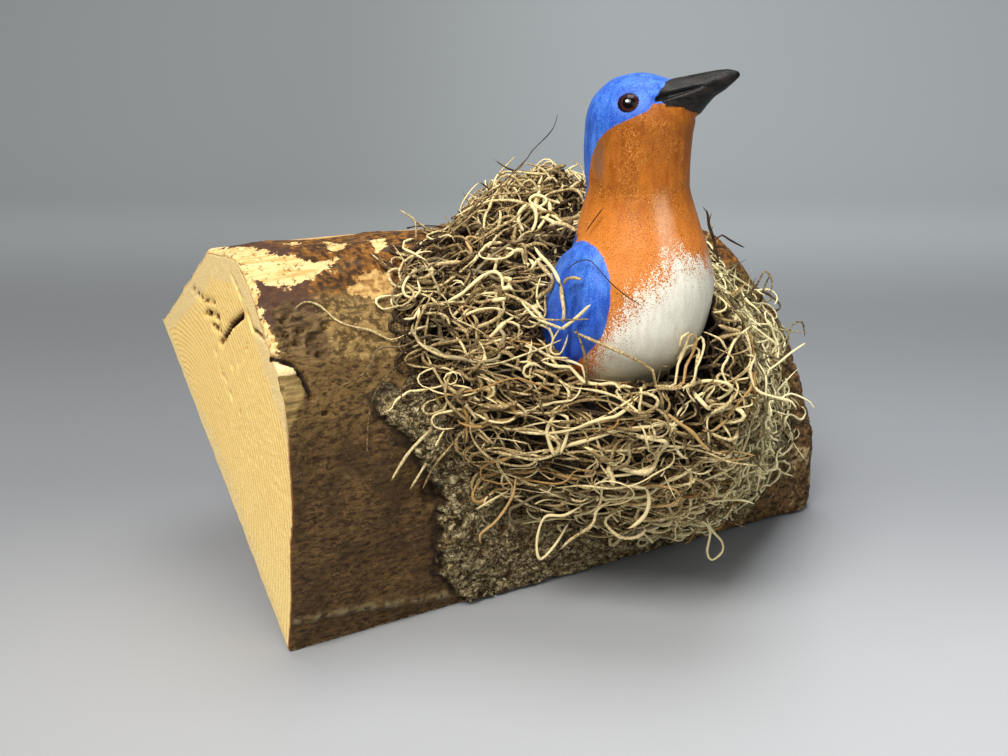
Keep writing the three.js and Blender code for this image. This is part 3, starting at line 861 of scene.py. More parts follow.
# %% Join the log's colours
split_face = wood.layers(
    paint(196, 158, 106),
    (streak.step(0.3, 0.7), paint(226, 194, 142)),
    (long_streak.step(0.5, 0.75) * 0.5, paint(168, 126, 78)),
)
far_face = wood.mix(rings, paint(176, 138, 92), paint(142, 104, 64))
log_colour = wood.layers(
    bark,
    (plate_foot_shadow, paint(30, 21, 14)),
    (plate_line.step(-0.2, 0.6), plate_colour),
    (wood.attribute("split").step(0.4, 0.6), split_face),
    (wood.attribute("far_end").step(0.4, 0.6), far_face),
    (wood.attribute("sawn").step(0.35, 0.65), end_colour),
)
on_plate = plate_line.step(-0.2, 0.6) * (1 - wood.attribute("sawn"))
plate_height = on_plate * (crust + furrows * 3.0)
bark_height = fine * 0.5 + small * 0.6 + scales * 0.7 + streak * 0.3 + plate_height
end_height = pores * 0.5 + fine_rings * 0.08
log_height = wood.mix(wood.attribute("sawn").step(0.35, 0.65), bark_height, end_height)
log_roughness = 0.72 + (small - 0.5) * 0.3
log_mesh.materials.clear()
barked = wood.finish(log_colour, log_roughness, log_height, depth=0.0005, strength=0.9)
log_mesh.materials.append(barked)
print("the log's material has", len(wood.tree.nodes), "nodes")

# %% [markdown]
# ## The bird's body
#
# The carver shaped the bird from one piece of wood, so body and bill flow into each other. Its
# profile is a table of heights with the distance from the bird's axis to its back and its breast.
# Rings that follow the table make the body, and the folded wings are low swellings on it. A second
# grid makes the bill.

# %% Profile and wings of the bird
BIRD_AXIS = (102.0, -41.0)
BIRD_TURN = math.radians(-51.6)
BIRD_PROFILE = np.array([
    (70, -13, -3), (77, -18.5, 2), (84, -22, 7), (90, -23.8, 12.2), (96, -24.8, 17.8),
    (101, -25.2, 20.9), (108, -25, 23.1), (118, -22.6, 24.3), (128, -18.8, 22.3), (137, -16.8, 19),
    (146, -15, 16), (150, -15.6, 15.7),
    (156, -16, 15.7), (163, -15.8, 16.1), (166, -15.6, 16.5), (169.3, -14.8, 15.7),
    (172.7, -13.2, 13.5), (176.1, -9.8, 10.2), (177.8, -7.1, 7.6), (178.7, -4.6, 4.9),
    (179.2, -2.2, 2.6),
])
BIRD_FOOT, BIRD_TOP = BIRD_PROFILE[0, 0], BIRD_PROFILE[-1, 0]
BODY_HEIGHTS = (BIRD_FOOT, 178)
BIRD_GAP = 0.8
WING_OUTLINE = [
    (141, 131.6), (127, 131.8), (116, 130.8), (107, 128.3), (100, 124.6), (95.5, 120.6), (93, 116),
    (92.5, 110.5), (94.5, 106), (98, 103), (104, 100), (112, 96), (126, 91.5), (142, 88), (172, 85),
    (172, 126),
]
WING_RISE = 2.6
WING_GROOVE_ANGLE = 119.5
WING_GROOVE_SPREAD = 11.0
WING_GROOVE_DEPTH = 1.6
WING_SCALE = 0.42

print("the body goes from", BIRD_FOOT, "to", BIRD_TOP, "mm")


# %% The body's shape at a height
def profile_at(heights, column):
    """A smooth value at each height through one column of the profile."""
    table = BIRD_PROFILE
    last = len(table) - 1
    first = np.clip(np.searchsorted(table[:, 0], heights, side="left") - 1, 0, last - 1)
    before = table[np.maximum(first - 1, 0)]
    start = table[first]
    end = table[first + 1]
    after = table[np.minimum(first + 2, last)]
    span = end[:, 0] - start[:, 0]
    part = np.clip((heights - start[:, 0]) / span, 0, 1)
    slope_in = (end[:, column] - before[:, column]) / (end[:, 0] - before[:, 0]) * span
    slope_out = (after[:, column] - start[:, column]) / (after[:, 0] - start[:, 0]) * span
    square = part * part
    cube = square * part
    value = (2 * cube - 3 * square + 1) * start[:, column] + (cube - 2 * square + part) * slope_in
    return value + (3 * square - 2 * cube) * end[:, column] + (cube - square) * slope_out


def body_shape(heights):
    """Middle, reach and flattening of the body at each height."""
    back = profile_at(heights, 1)
    front = profile_at(heights, 2)
    flattening = 0.97 - 0.11 * smoothstep(heights, 120, 150)
    return (back + front) / 2, (front - back) / 2, flattening


def inside_turned(degrees, heights, outline, scale):
    """How far inside an outline of degrees and heights; scale is the millimetres of one degree."""
    return depth_inside(degrees * scale, heights, [(turned * scale, high) for turned, high in outline])


def wing_swelling(degrees, heights, reach):
    """How far the wing stands out of the body, in millimetres."""
    scale = np.radians(reach)
    depth = inside_turned(degrees, heights, WING_OUTLINE, WING_SCALE)
    lobe = WING_RISE * smoothstep(depth, -0.4, 3.2)
    across = np.abs(degrees - WING_GROOVE_ANGLE) / WING_GROOVE_SPREAD
    level = smoothstep(heights, 92, 100) * (1 - smoothstep(heights, 114, 122))
    return lobe - WING_GROOVE_DEPTH * level * (1 - smoothstep(across, 0, 1))


# %% Shape the body
BIRD_SIDES = 200
BIRD_RINGS = 210
POLE_RINGS = 8
body_mesh, spots, column, ring = grid_mesh("bird_body", BIRD_SIDES, BIRD_RINGS + 2 * POLE_RINGS)
angle = (spots[:, 0] + 1) * math.pi
ring = ring - POLE_RINGS
closing = np.clip(np.maximum(-ring, ring - BIRD_RINGS) / POLE_RINGS, 0, 1)
tall = BIRD_FOOT + (BIRD_TOP - BIRD_FOOT) * np.clip(ring / BIRD_RINGS, 0, 1)
middle_x, reach, flattening = body_shape(tall)
degrees = np.degrees(np.minimum(angle, 2 * math.pi - angle))
rise = wing_swelling(degrees, tall, reach)
spots[:, 0] = middle_x + (reach + rise) * (1 - closing) * np.cos(angle)
spots[:, 1] = (reach * flattening + rise) * (1 - closing) * np.sin(angle)
spots[:, 2] = tall + np.where(ring > BIRD_RINGS, 0.2, -0.5) * (1 - (1 - closing) ** 2) * (closing > 0)
body_mesh.vertices.foreach_set("co", spots.ravel())
print("open edges on the body", close_mesh(body_mesh, 0.001))

# %% Shape the bill
BILL_PROFILE = np.array([
    (4, 168, 177, 7.5), (9.3, 167, 177.9, 7.2), (14, 167, 179, 6.2), (17.7, 167.9, 179.8, 5.2),
    (19.8, 170.9, 180.2, 4.6), (22, 173.3, 180.6, 3.9), (25.1, 175.4, 181, 2.9),
    (27.7, 177.9, 180.7, 1.6), (28.8, 179, 180.1, 0.7),
])
BILL_RINGS = 70
BILL_SIDES = 60
TIP_RINGS = 3
bill_mesh, spots, column, ring = grid_mesh("bird_bill", BILL_SIDES, BILL_RINGS + 2 * TIP_RINGS)
angle = (spots[:, 0] + 1) * math.pi
ring = ring - TIP_RINGS
run = np.clip(ring / BILL_RINGS, 0, 1)
closing = np.clip(np.maximum(-ring, ring - BILL_RINGS) / TIP_RINGS, 0, 1)
bill_x = BILL_PROFILE[0, 0] + (BILL_PROFILE[-1, 0] - BILL_PROFILE[0, 0]) * run
low_edge, high_edge, half_width = (
    np.interp(bill_x, BILL_PROFILE[:, 0], BILL_PROFILE[:, measure]) for measure in (1, 2, 3)
)
spots[:, 0] = bill_x + np.where(ring > BILL_RINGS, 0.3, 0.0) * closing
spots[:, 1] = np.cos(angle) * half_width * (1 - closing)
spots[:, 2] = (low_edge + high_edge) / 2 + np.sin(angle) * (high_edge - low_edge) / 2 * (1 - closing)
bill_mesh.vertices.foreach_set("co", spots.ravel())
print("open edges on the bill", close_mesh(bill_mesh, 0.001))

# %% [markdown]
# ## One skin over body and bill
#
# A voxel remesh fills both shapes with small cubes and wraps one skin round them, which removes
# the joint, as a carver's sandpaper does. Smoothing then takes away the steps the cubes leave.

# %% Wrap and smooth the bird
VOXEL = 0.52
SMOOTHINGS = 6
joined = bmesh.new()
joined.from_mesh(body_mesh)
joined.from_mesh(bill_mesh)
rough_mesh = bpy.data.meshes.new("rough_bird")
joined.to_mesh(rough_mesh)
joined.free()
rough_bird = bpy.data.objects.new("rough_bird", rough_mesh)
bpy.context.scene.collection.objects.link(rough_bird)
remesh = rough_bird.modifiers.new("skin", "REMESH")
remesh.mode = "VOXEL"
remesh.voxel_size = VOXEL
depsgraph = bpy.context.evaluated_depsgraph_get()
bird_mesh = bpy.data.meshes.new_from_object(rough_bird.evaluated_get(depsgraph))
bpy.data.objects.remove(rough_bird)
bpy.data.meshes.remove(rough_mesh)
bird_mesh.name = "painted_bird"
skin = bmesh.new()
skin.from_mesh(bird_mesh)
for _ in range(SMOOTHINGS):
    bmesh.ops.smooth_vert(
        skin, verts=skin.verts[:], factor=0.5, use_axis_x=True, use_axis_y=True, use_axis_z=True
    )
skin.normal_update()
skin.to_mesh(bird_mesh)
skin.free()
bird_mesh.polygons.foreach_set("use_smooth", [True] * len(bird_mesh.polygons))
print("bird skin", len(bird_mesh.polygons), "faces")

# %% [markdown]
# ## Paint borders of the bird
#
# Blue cap and wings, orange breast and white belly meet in brushed borders. Each is an outline in
# two numbers that make sense on a bird: degrees round from the middle of the breast, and height.
# Both sides are alike, so degrees are counted the same way to the left and right. The bill's
# border and the mouth's line are drawn in side view instead.

# %% Borders, as degrees from the breast and height, or in side view
CAP_SCALE = 0.26
CAP_OUTLINE = [
    (0, 172), (64, 171.6), (69, 170), (81, 168.6), (92, 167.1), (104, 165.4), (114, 163.6),
    (124, 161.1), (132, 157.6), (137, 154.2), (142, 150.1), (150, 146), (161, 142), (168, 137),
    (164, 133), (150, 131.5), (150, 120), (190, 120), (190, 185), (0, 185),
]
BELLY_SCALE = 0.4
BELLY_OUTLINE = [
    (-20, 124), (5, 125), (27, 126), (40, 128.5), (51, 129), (56, 125.5), (63, 121.8), (72, 119),
    (79, 114), (85, 108.5), (91, 103.5), (95, 98), (98, 91), (98, 60), (-20, 60),
]
BILL_SIDE = [
    (11.5, 180), (9.6, 177.8), (8.4, 176.9), (7.7, 175), (6.8, 173.1), (8.9, 171.6), (12, 170.9),
    (15.4, 170), (17.4, 168.9), (18.6, 167.4), (20, 165), (60, 160), (60, 190),
]
MOUTH_LINE = [(6.6, 173.0), (9.5, 173.6), (14.0, 174.9), (21.0, 177.0)]
EYE_PLACE = (-0.45, 11.3, 171.8)

# %% How far inside each border a point lies
spots = places_of(bird_mesh)
facing = places_of(bird_mesh, "normal")
middle_x, reach, flattening = body_shape(spots[:, 2])
degrees = np.degrees(np.arctan2(np.abs(spots[:, 1]) / flattening, spots[:, 0] - middle_x))
cap = inside_turned(degrees, spots[:, 2], CAP_OUTLINE, CAP_SCALE)
wing = inside_turned(degrees, spots[:, 2], WING_OUTLINE, WING_SCALE)
back = (degrees - 150) * WING_SCALE - np.maximum(spots[:, 2] - 131, 0) * 4
wing = np.maximum(wing, np.where(spots[:, 2] > 85, back, -9.0))
belly = inside_turned(degrees, spots[:, 2], BELLY_OUTLINE, BELLY_SCALE)
bill = depth_inside(spots[:, 0], spots[:, 2], BILL_SIDE)
mouth = line_distance(spots[:, 0], spots[:, 2], MOUTH_LINE)
groove_across = WING_GROOVE_ANGLE * WING_SCALE
valley = line_distance(degrees * WING_SCALE, spots[:, 2], [(groove_across, 98), (groove_across, 116)])
print("the wing reaches", round(wing.max(), 1), "mm in from its border")

# %% Carve the mouth, the eyes and the brush marks
MOUTH_START = MOUTH_LINE[0][0]
MOUTH_LENGTH = MOUTH_LINE[-1][0] - MOUTH_START
EYE_RADIUS = 3.0
EYE_DOME = 0.9
mouth_run = np.clip((spots[:, 0] - MOUTH_START) / MOUTH_LENGTH, 0, 1)
mouth_width = 1.15 * (1 - mouth_run ** 1.5) + 0.12
cut_depth = 1 - smoothstep(mouth, mouth_width * 0.2, mouth_width)
cut_depth *= 1 - smoothstep(mouth_run, 0.6, 1.0)
cut_depth *= smoothstep(spots[:, 0], 6.2, 8.0) * (np.abs(spots[:, 1]) > 0.8)
eye_x = spots[:, 0] - EYE_PLACE[0]
eye_y = np.abs(spots[:, 1]) - EYE_PLACE[1]
eye_z = spots[:, 2] - EYE_PLACE[2]
eye_across = eye_x * 0.95 + eye_z * 0.2
eye_up = (eye_z * 0.95 - eye_x * 0.2 - eye_y * 0.45) * 0.95
eye = np.hypot(eye_across, eye_up)
iris = np.hypot(eye_across - 0.45, (eye_up + 0.35) * 0.93)
eye = np.where(eye_y < -6, 30, eye)
iris = np.where(eye_y < -6, 30, iris)
seam = 0.25 * (1 - smoothstep(np.abs(eye - EYE_RADIUS), 0.0, 0.6))
grain_marks = noise_field(spots * (1.0, 1.0, 0.35), 4.0, 2, 23.0)
dome = EYE_DOME * np.clip(1 - (eye / (EYE_RADIUS - 0.1)) ** 2, 0, 1)
spots += facing * (dome - cut_depth - seam + 0.12 * grain_marks * (eye > 3.2))[:, None]
bird_mesh.vertices.foreach_set("co", spots.ravel())
for name, values in (
    ("cap", cap), ("wing", wing), ("belly", belly), ("bill", bill), ("mouth", cut_depth),
    ("eye", eye), ("iris", iris), ("around", degrees), ("groove", valley),
):
    keep(bird_mesh, name, values)
bird_mesh.transform(Matrix.Translation((*BIRD_AXIS, 0.0)) @ Matrix.Rotation(BIRD_TURN, 4, "Z"))
place_piece(bird_mesh, "bird")

# %% [markdown]
# ## Paint of the bird
#
# The paint is matt acrylic, laid on with a brush and then sealed, so it has a fine grain that
# catches the light in specks. Belly and breast were blended with a nearly dry brush: there the
# border is wide, and fine noise decides at each place which colour wins.

# %% Strokes, specks and patches
coat = Graph("brushed_paint", 0.42)
coat.shader.inputs["Specular IOR Level"].default_value = 0.22
up = coat.axis(2)
speck = coat.clouds(0.55, 2.0)
stipple = coat.clouds(0.42, 2.0, 0.7)
brush = coat.clouds(2.4, 3.0, scale=(1.0, 1.0, 0.3))
haze = coat.clouds(9.0, 2.0)
around = coat.attribute("around")


def patch(turned, raised, wide, tall):
    """A soft patch of the bird's side, 1 in its middle: degrees from the breast, and height."""
    across = ((around - turned) * (1.0 / wide)).size().step(1.0, 0.2)
    return across * ((up - raised) * (1.0 / tall)).size().step(1.0, 0.2) * (brush + speck - 0.35)


print("strokes and specks take", len(coat.tree.nodes), "nodes")

# %% The bird's colours
blue = coat.layers(
    paint(36, 84, 186),
    (brush.step(0.3, 0.7), paint(72, 126, 218)),
    (speck.step(0.58, 0.72) * 0.4, paint(120, 166, 246)),
    (speck.step(0.42, 0.3) * 0.4, paint(24, 60, 160)),
    (haze.step(0.46, 0.64) * 0.5, paint(26, 68, 168)),
    (stipple.step(0.46, 0.34) * 0.5, paint(18, 48, 138)),
    (stipple.step(0.58, 0.68) * 0.4, paint(140, 178, 246)),
    # Lower down the blue is darker: painted shade on the wing's lower part.
    (up.step(124.0, 96.0) * 0.6, paint(18, 56, 170)),
    # The wing's groove is darker: painted shade in the hollow.
    (coat.attribute("groove").step(1.6, 0.4) * 0.5, paint(10, 26, 92)),
)
orange = coat.layers(
    paint(158, 84, 16),
    (brush.step(0.3, 0.7), paint(192, 112, 34)),
    (haze.step(0.42, 0.66) * 0.5, paint(136, 72, 14)),
    (up.step(148.0, 132.0) * 0.7, paint(222, 132, 54)),
    (up.step(120.0, 100.0) * 0.5, paint(176, 92, 34)),
    (stipple.step(0.54, 0.68) * haze.step(0.44, 0.6) * 0.7, paint(228, 164, 80)),
    (stipple.step(0.46, 0.34) * 0.6, paint(92, 44, 8)),
    # Low on the flank by the wing the orange turns dark red-brown: painted shade.
    (up.step(101.0, 88.0) * around.step(76.0, 96.0) * 0.8, paint(106, 36, 16)),
    (patch(52.0, 137.0, 15.0, 13.0) * 0.6, paint(226, 184, 150)),
    (patch(124.0, 156.0, 14.0, 9.0) * 0.8, paint(96, 92, 84)),
    (up.step(150.0, 164.0) * haze.step(0.6, 0.4) * 0.5, paint(112, 62, 14)),
)
white = coat.layers(
    paint(222, 218, 200),
    (brush.step(0.35, 0.7), paint(236, 233, 218)),
    # Lower down the white is much darker: painted shade where the belly turns under into the nest.
    (up.step(112.0, 90.0) * 0.85, paint(138, 124, 88)),
    (stipple.step(0.6, 0.72) * 0.4, paint(246, 244, 232)),
    (stipple.step(0.42, 0.3) * 0.5, paint(158, 146, 118)),
)
dark_streaks = coat.clouds(1.2, 4.0, scale=(0.25, 0.25, 0.6))
dark = coat.mix(dark_streaks.step(0.4, 0.7), paint(4, 3, 3), paint(36, 30, 26))
print("with the four paints", len(coat.tree.nodes), "nodes")

# %% Join the bird's colours
belly_mask = (coat.attribute("belly") + (stipple - 0.5) * 34.0 + (brush - 0.5) * 12.0).step(-1.0, 1.0)
blue_area = coat.attribute("cap").most(coat.attribute("wing"))
blue_mask = (blue_area + (brush - 0.5) * 0.9 + (speck - 0.5) * 0.9).step(-0.15, 0.25)
bill_area = coat.attribute("bill") + (dark_streaks - 0.5) * 3.0 + (speck - 0.5) * 1.2
eye_at = coat.attribute("eye")
iris_at = coat.attribute("iris")
skin_colour = coat.layers(
    orange,
    (belly_mask, white),
    (blue_mask, blue),
    (bill_area.step(-0.2, 0.25), dark),
    (coat.attribute("mouth").step(0.12, 0.45), paint(8, 7, 8)),
    ((eye_at + (speck - 0.5) * 0.5).step(3.15, 2.95), paint(14, 15, 30)),
    ((iris_at + (speck - 0.5) * 0.3).step(2.4, 2.1), paint(70, 24, 14)),
    (iris_at.step(1.9, 1.6), paint(4, 3, 4)),
    # The white dot in the eye's middle is a painted highlight.
    (eye_at.step(0.55, 0.3), paint(236, 240, 240)),
)
on_eye = eye_at.step(3.3, 3.0)
coat_roughness = 0.42 + (speck - 0.5) * 0.35 - on_eye * 0.24
coat_height = (speck * 0.6 + stipple * 0.5 + brush * 0.5) * (1 - on_eye)
bird_mesh.materials.clear()
painted = coat.finish(skin_colour, coat_roughness, coat_height, depth=0.00025, strength=0.7)
bird_mesh.materials.append(painted)
print("the bird's material has", len(coat.tree.nodes), "nodes")

# %% [markdown]
# ## The nest's surface
#
# The nest is a heap of dried moss: hundreds of curly strands on the bark, in a ring about the
# bird. Drawn by hand that would never end, so each strand is grown in steps over one smooth
# surface. The surface has an edge, drawn as an outline on the unrolled bark, and a height over
# the bark that is greatest behind the bird and falls to the edge.

# %% Edge and height of the nest
NEST_X = 128.0
NEST_ROUND = 0.52
NEST_EDGE = np.array([
    (202, 0.62), (192, 0.78), (180, 0.9), (163, 0.98), (140, 1.0), (118, 1.0), (100, 0.94),
    (82, 0.85), (62, 0.78), (49, 0.68), (46, 0.56), (51, 0.41), (63, 0.31), (77, 0.21),
    (92, 0.16), (110, 0.12), (138, 0.08), (166, 0.07), (187, 0.12), (201, 0.22), (205, 0.4),
])
NEST_PLACES = [60, 85, 108, 130, 155, 185, 210]
NEST_SHARES = [0, 0.2, 0.4, 0.5, 0.62, 0.8, 1]
NEST_HEIGHTS = np.array([
    (18, 26, 30, 30, 24, 14, 8),
    (24, 40, 46, 46, 34, 18, 9),
    (27, 50, 63, 63, 44, 20, 9),
    (26, 48, 61, 61, 42, 18, 8),
    (22, 32, 46, 46, 30, 13, 6),
    (14, 17, 29, 31, 20, 8, 4),
    (8, 10, 24, 28, 17, 6, 4),
])
NEST_RIM = 3.0
edge_across = (NEST_EDGE[:, 0] - NEST_X) / LOG_LENGTH
edge_up = NEST_EDGE[:, 1] - NEST_ROUND
edge_angle = np.arctan2(edge_up, edge_across)
edge_reach = np.hypot(edge_across, edge_up)
in_order = np.argsort(edge_angle)
edge_angle = edge_angle[in_order]
edge_reach = edge_reach[in_order]

print("the nest's edge has", len(edge_angle), "places")


# %% The nest's height at a place
def nest_share(place_x, place_round):
    """0 in the nest's middle, 1 at its edge, more outside."""
    across = (place_x - NEST_X) / LOG_LENGTH
    raised = place_round - NEST_ROUND
    limit = np.interp(np.arctan2(raised, across), edge_angle, edge_reach, period=2 * math.pi)
    return np.hypot(across, raised) / limit


def nest_height(place_x, place_round):
    """Height of the moss over the bark."""
    share = nest_share(place_x, place_round)
    column = np.interp(place_x, NEST_PLACES, np.arange(len(NEST_PLACES)))
    crown = np.zeros(len(column))
    for number in range(len(NEST_PLACES)):
        heights = np.interp(place_round, NEST_SHARES, NEST_HEIGHTS[:, number])
        crown += heights * np.maximum(1 - np.abs(column - number), 0)
    swell = np.maximum(1 - np.minimum(share, 1.0) ** 2.2, 0) ** 0.75
    dome = NEST_RIM + (crown - NEST_RIM) * swell
    waves = np.sin(place_x * 0.14 + 3 * place_round) * np.sin(place_round * 17 - place_x * 0.05)
    return dome * (1 + 0.07 * waves) * (1 - smoothstep(share, 0.98, 1.12))


print("moss over the bark in the nest's middle", nest_height(np.array([NEST_X]), np.array([NEST_ROUND])))

# %% [markdown]
# ## Room for the bird
#
# Strands may not grow through the bird, and in front of its belly the nest is open. Both are
# answered by a depth: how far inside the body, or inside the open niche, a point lies. The
# surface of the nest is turned into places by going out from the bark along its normal.

# %% Places over the bark, in the bird and in the niche
def over_bark(place_x, place_round, height):
    """The point at a height over the bark, with x, y and z in the log's millimetres."""
    share = np.clip(place_x / LOG_LENGTH, 0, 1) ** 2
    around = np.clip(place_round, 0, 1)
    at = bark_curve(share, around)
    line = np.interp(at[:, 1], PLATE_EDGE[:, 0], PLATE_EDGE[:, 1])
    lift = PLATE_RISE * smoothstep(place_x, line - 2, line + 2) * (1 - smoothstep(at[:, 1], 76, 96))
    at = at + bark_normal(share, around) * (height + lift)[:, None]
    slanted = place_x - END_SLANT * at[:, 1] * place_x / LOG_LENGTH
    return np.stack([slanted, at[:, 0], at[:, 1]], axis=1)


def from_bird(points, turn):
    """Places before and beside the bird's axis, seen along a turn."""
    moved = points[:, :2] - np.array(BIRD_AXIS)
    fore = moved[:, 0] * math.cos(turn) + moved[:, 1] * math.sin(turn)
    return fore, moved[:, 1] * math.cos(turn) - moved[:, 0] * math.sin(turn)


def in_bird(points):
    """How deep inside the bird's body each point is, below nought outside."""
    fore, aside = from_bird(points, BIRD_TURN)
    heights = np.clip(points[:, 2], *BODY_HEIGHTS)
    middle, reach, flattening = body_shape(heights)
    around = np.degrees(np.arctan2(np.abs(aside) / flattening, fore - middle))
    reach = reach + np.maximum(wing_swelling(around, heights, reach), 0)
    depth = reach + BIRD_GAP - np.hypot(fore - middle, aside / flattening)
    return np.minimum(depth, points[:, 2] - (BIRD_FOOT - 1.0))


NICHE_TURN = math.radians(-121.6)
NICHE_FLOOR = 91.0
NICHE_HEIGHTS = [91, 94, 97.5, 102, 108, 114]
NICHE_HALF_WIDTHS = [14.5, 17.5, 20.5, 23, 24.5, 25]


def in_niche(points):
    """How deep each point is in the open space before the bird's breast, below nought outside."""
    fore, aside = from_bird(points, NICHE_TURN)
    half = np.interp(points[:, 2], NICHE_HEIGHTS, NICHE_HALF_WIDTHS) - 1.0
    wall = np.where(fore > 0, half + 0.15 * fore - np.abs(aside), half - np.hypot(fore, aside))
    return np.minimum(wall, points[:, 2] - NICHE_FLOOR)


middle_at = over_bark(np.array([NEST_X]), np.array([NEST_ROUND]), np.zeros(1))
print("the nest's middle on the bark", middle_at.round(1), "mm")

# %% [markdown]
# ## Growing strands
#
# All strands of a kind grow at once. At each step a strand goes on along its heading, and its
# curvature, which changes now and then, turns the heading: long gentle stretches and short tight
# ones give the arcs, hooks and loops of dried moss. A strand also weaves up and down through the
# heap. It ends where it would enter the bird, or too far into the open niche.

# %% Start the strands
chance = np.random.default_rng(41)


def start_places(count, side):
    """Random starts inside the nest's edge, fewer near it; side, from 0 to 1, favours the far end."""
    kept_x, kept_round = [], []
    while len(kept_x) < count:
        try_x = chance.uniform(40, 216, 400)
        try_round = chance.uniform(0.04, 1.0, 400)
        share = nest_share(try_x, try_round)
        far_side = smoothstep(try_x, 140, 165) * smoothstep(try_round, 0.42, 0.55)
        thinner = 0.7 * smoothstep(share, 0.72, 0.98) * (1 - smoothstep(try_x, 130, 150))
        wanted = (share < 1 + 0.17 * (side > 0) * far_side) * (1 - thinner)
        wanted = wanted * (1 - side + side * smoothstep(try_x, 105 + 40 * (side == 1), 160))
        chosen = chance.random(400) < wanted
        kept_x.extend(try_x[chosen])
        kept_round.extend(try_round[chosen])
    return np.array(kept_x[:count]), np.array(kept_round[:count])


# %% Grow the strands
CURL_CHANGE = 8.0
SUPPLENESS = 0.45
HOMING = 0.7
BARK_RADIUS = 62.0


def grow(count, steps, stride, curls, depth, weave, thick, side=0.0, fringe=1.1, flight=0.0):
    """Strands as lists of points and radii. Curls are three curvatures, gentle to tight."""
    at_x, at_round = start_places(count, side)
    far = smoothstep(at_x, 125, 165)
    crown_share = smoothstep(at_round, 0.45, 0.62) * (1 - smoothstep(at_x, 112, 130))
    heading = 0.9 * crown_share - 0.15 + chance.normal(0, 0.8 + 0.9 * far, count)
    heading += math.pi * chance.integers(0, 2, count)
    size = (thick[0] + (thick[1] - thick[0]) * chance.random(count) ** 1.8) * (1 - 0.12 * far)
    deep = depth[0] + (depth[1] - depth[0]) * chance.random(count)
    weave_length = chance.uniform(8, 24, count)
    weave_phase = chance.uniform(0, 2 * math.pi, count)
    weave_size = weave * chance.uniform(0.2, 1.0, count)
    turn = np.zeros(count)
    turn_goal = np.zeros(count)
    points = np.empty((count, steps, 3))
    for number in range(steps):
        renew = chance.random(count) < stride / CURL_CHANGE
        kind = chance.random(count)
        goal = np.where(kind < 0.5, curls[0], np.where(kind < 0.82, curls[1], curls[2]))
        goal = goal * chance.uniform(0.3, 1.0, count) * chance.choice([-1.0, 1.0], count)
        turn_goal = np.where(renew | (number == 0), goal, turn_goal)
        turn += (turn_goal - turn) * SUPPLENESS
        heading = heading + turn * stride + renew * chance.normal(0, 0.22, count)
        share = nest_share(at_x, at_round)
        home = np.arctan2((NEST_ROUND - at_round) * ROUND_OVER, NEST_X - at_x)
        outermost = fringe + 0.14 * (side > 0) * far
        heading += HOMING * np.sin(home - heading) * smoothstep(share, 0.9, outermost)
        surface = nest_height(at_x, at_round)
        run = number * stride
        wave = np.sin(2 * math.pi * run / weave_length + weave_phase)
        sunk = deep + weave_size * wave * smoothstep(surface, 2, 12)
        if flight:
            sunk = deep - flight * weave_size * np.sin(math.pi * number / (steps - 1)) ** 1.5
        over = np.maximum(surface - sunk, 0.8 + 0.6 * np.abs(np.sin(run / 5.0 + weave_phase)))
        points[:, number] = over_bark(at_x, at_round, over)
        at_x = at_x + np.cos(heading) * stride
        at_round = at_round + np.sin(heading) * stride / (ROUND_OVER * (1 + over / BARK_RADIUS))
    return cut_strands(points, stride, size, deep)


# %% End the strands and keep them off the bird
SHORTEST = 7.0
MOST_BURIED = 2.2
NICHE_SOIL = NICHE_FLOOR + 5.0


def clear_of_bird(line):
    """Moves the points of a strand out of the bird's body and lowers them to the niche's floor."""
    inside = in_bird(line)
    middle = body_shape(np.clip(line[:, 2], *BODY_HEIGHTS))[0]
    away = line[:, :2] - np.array(BIRD_AXIS)
    away -= middle[:, None] * (math.cos(BIRD_TURN), math.sin(BIRD_TURN))
    away /= np.linalg.norm(away, axis=1)[:, None]
    line[:, :2] += away * np.maximum(inside, 0)[:, None]
    sunk = in_niche(line)
    line[:, 2] -= np.clip(sunk, 0, 5.0) * (line[:, 2] < NICHE_SOIL)
    return line


def cut_strands(points, stride, size, deep):
    """Ends each strand where it would enter the bird, the niche or the floor, and thins its tips."""
    count, steps = points.shape[:2]
    flat_points = points.reshape(-1, 3)
    entry = in_niche(flat_points).reshape(count, steps)
    reach_in = chance.uniform(0.0, 6.0, count)[:, None] ** 1.3
    low = points[:, :, 2] < NICHE_SOIL
    stop = in_bird(flat_points).reshape(count, steps) > MOST_BURIED
    stop |= (entry > reach_in) & ~low
    stop |= points[:, :, 2] < 1.0
    strands = []
    for number in range(count):
        last = np.argmax(stop[number]) if stop[number].any() else steps
        if last * stride < SHORTEST:
            continue
        line = clear_of_bird(points[number, :last])
        share = np.linspace(0, 1, last)
        ends = np.minimum(1.0, 0.4 + 5.0 * np.minimum(share, 1 - share))
        ends[[0, -1]] = 0.0
        knots = 1 + 0.3 * np.sin(share * last * 0.9 + number) * np.sin(share * last * 0.37)
        strands.append((line, size[number] * ends * knots, deep[number] / 9.0, None))
    return strands

# %% Let side shoots fork off
SHOOT_THICKNESS = np.array([0.0, 0.95, 0.85, 0.75, 0.65, 0.5, 0.0])


def sprigs(strands, count):
    """Short side shoots that fork off the upper strands."""
    shoots = []
    while len(shoots) < count:
        line, radii, depth, kind = strands[chance.integers(len(strands))]
        if depth > 0.3 or len(line) < 8:
            continue
        fork = chance.integers(3, len(line) - 3)
        ahead = line[fork + 1] - line[fork - 1]
        ahead /= np.linalg.norm(ahead)
        aside = np.cross(ahead, chance.normal(size=3))
        aside /= np.linalg.norm(aside)
        run = np.linspace(0, chance.uniform(3, 10), 7)[:, None]
        bend = chance.uniform(-0.06, 0.1)
        shoot = line[fork] + ahead * run * 0.75 + aside * (run * 0.6 + bend * run ** 2)
        if in_bird(shoot).max() < 0.0 and in_niche(shoot).max() < 2.0:
            shoots.append((shoot, radii[fork] * SHOOT_THICKNESS, depth, kind))
    return shoots


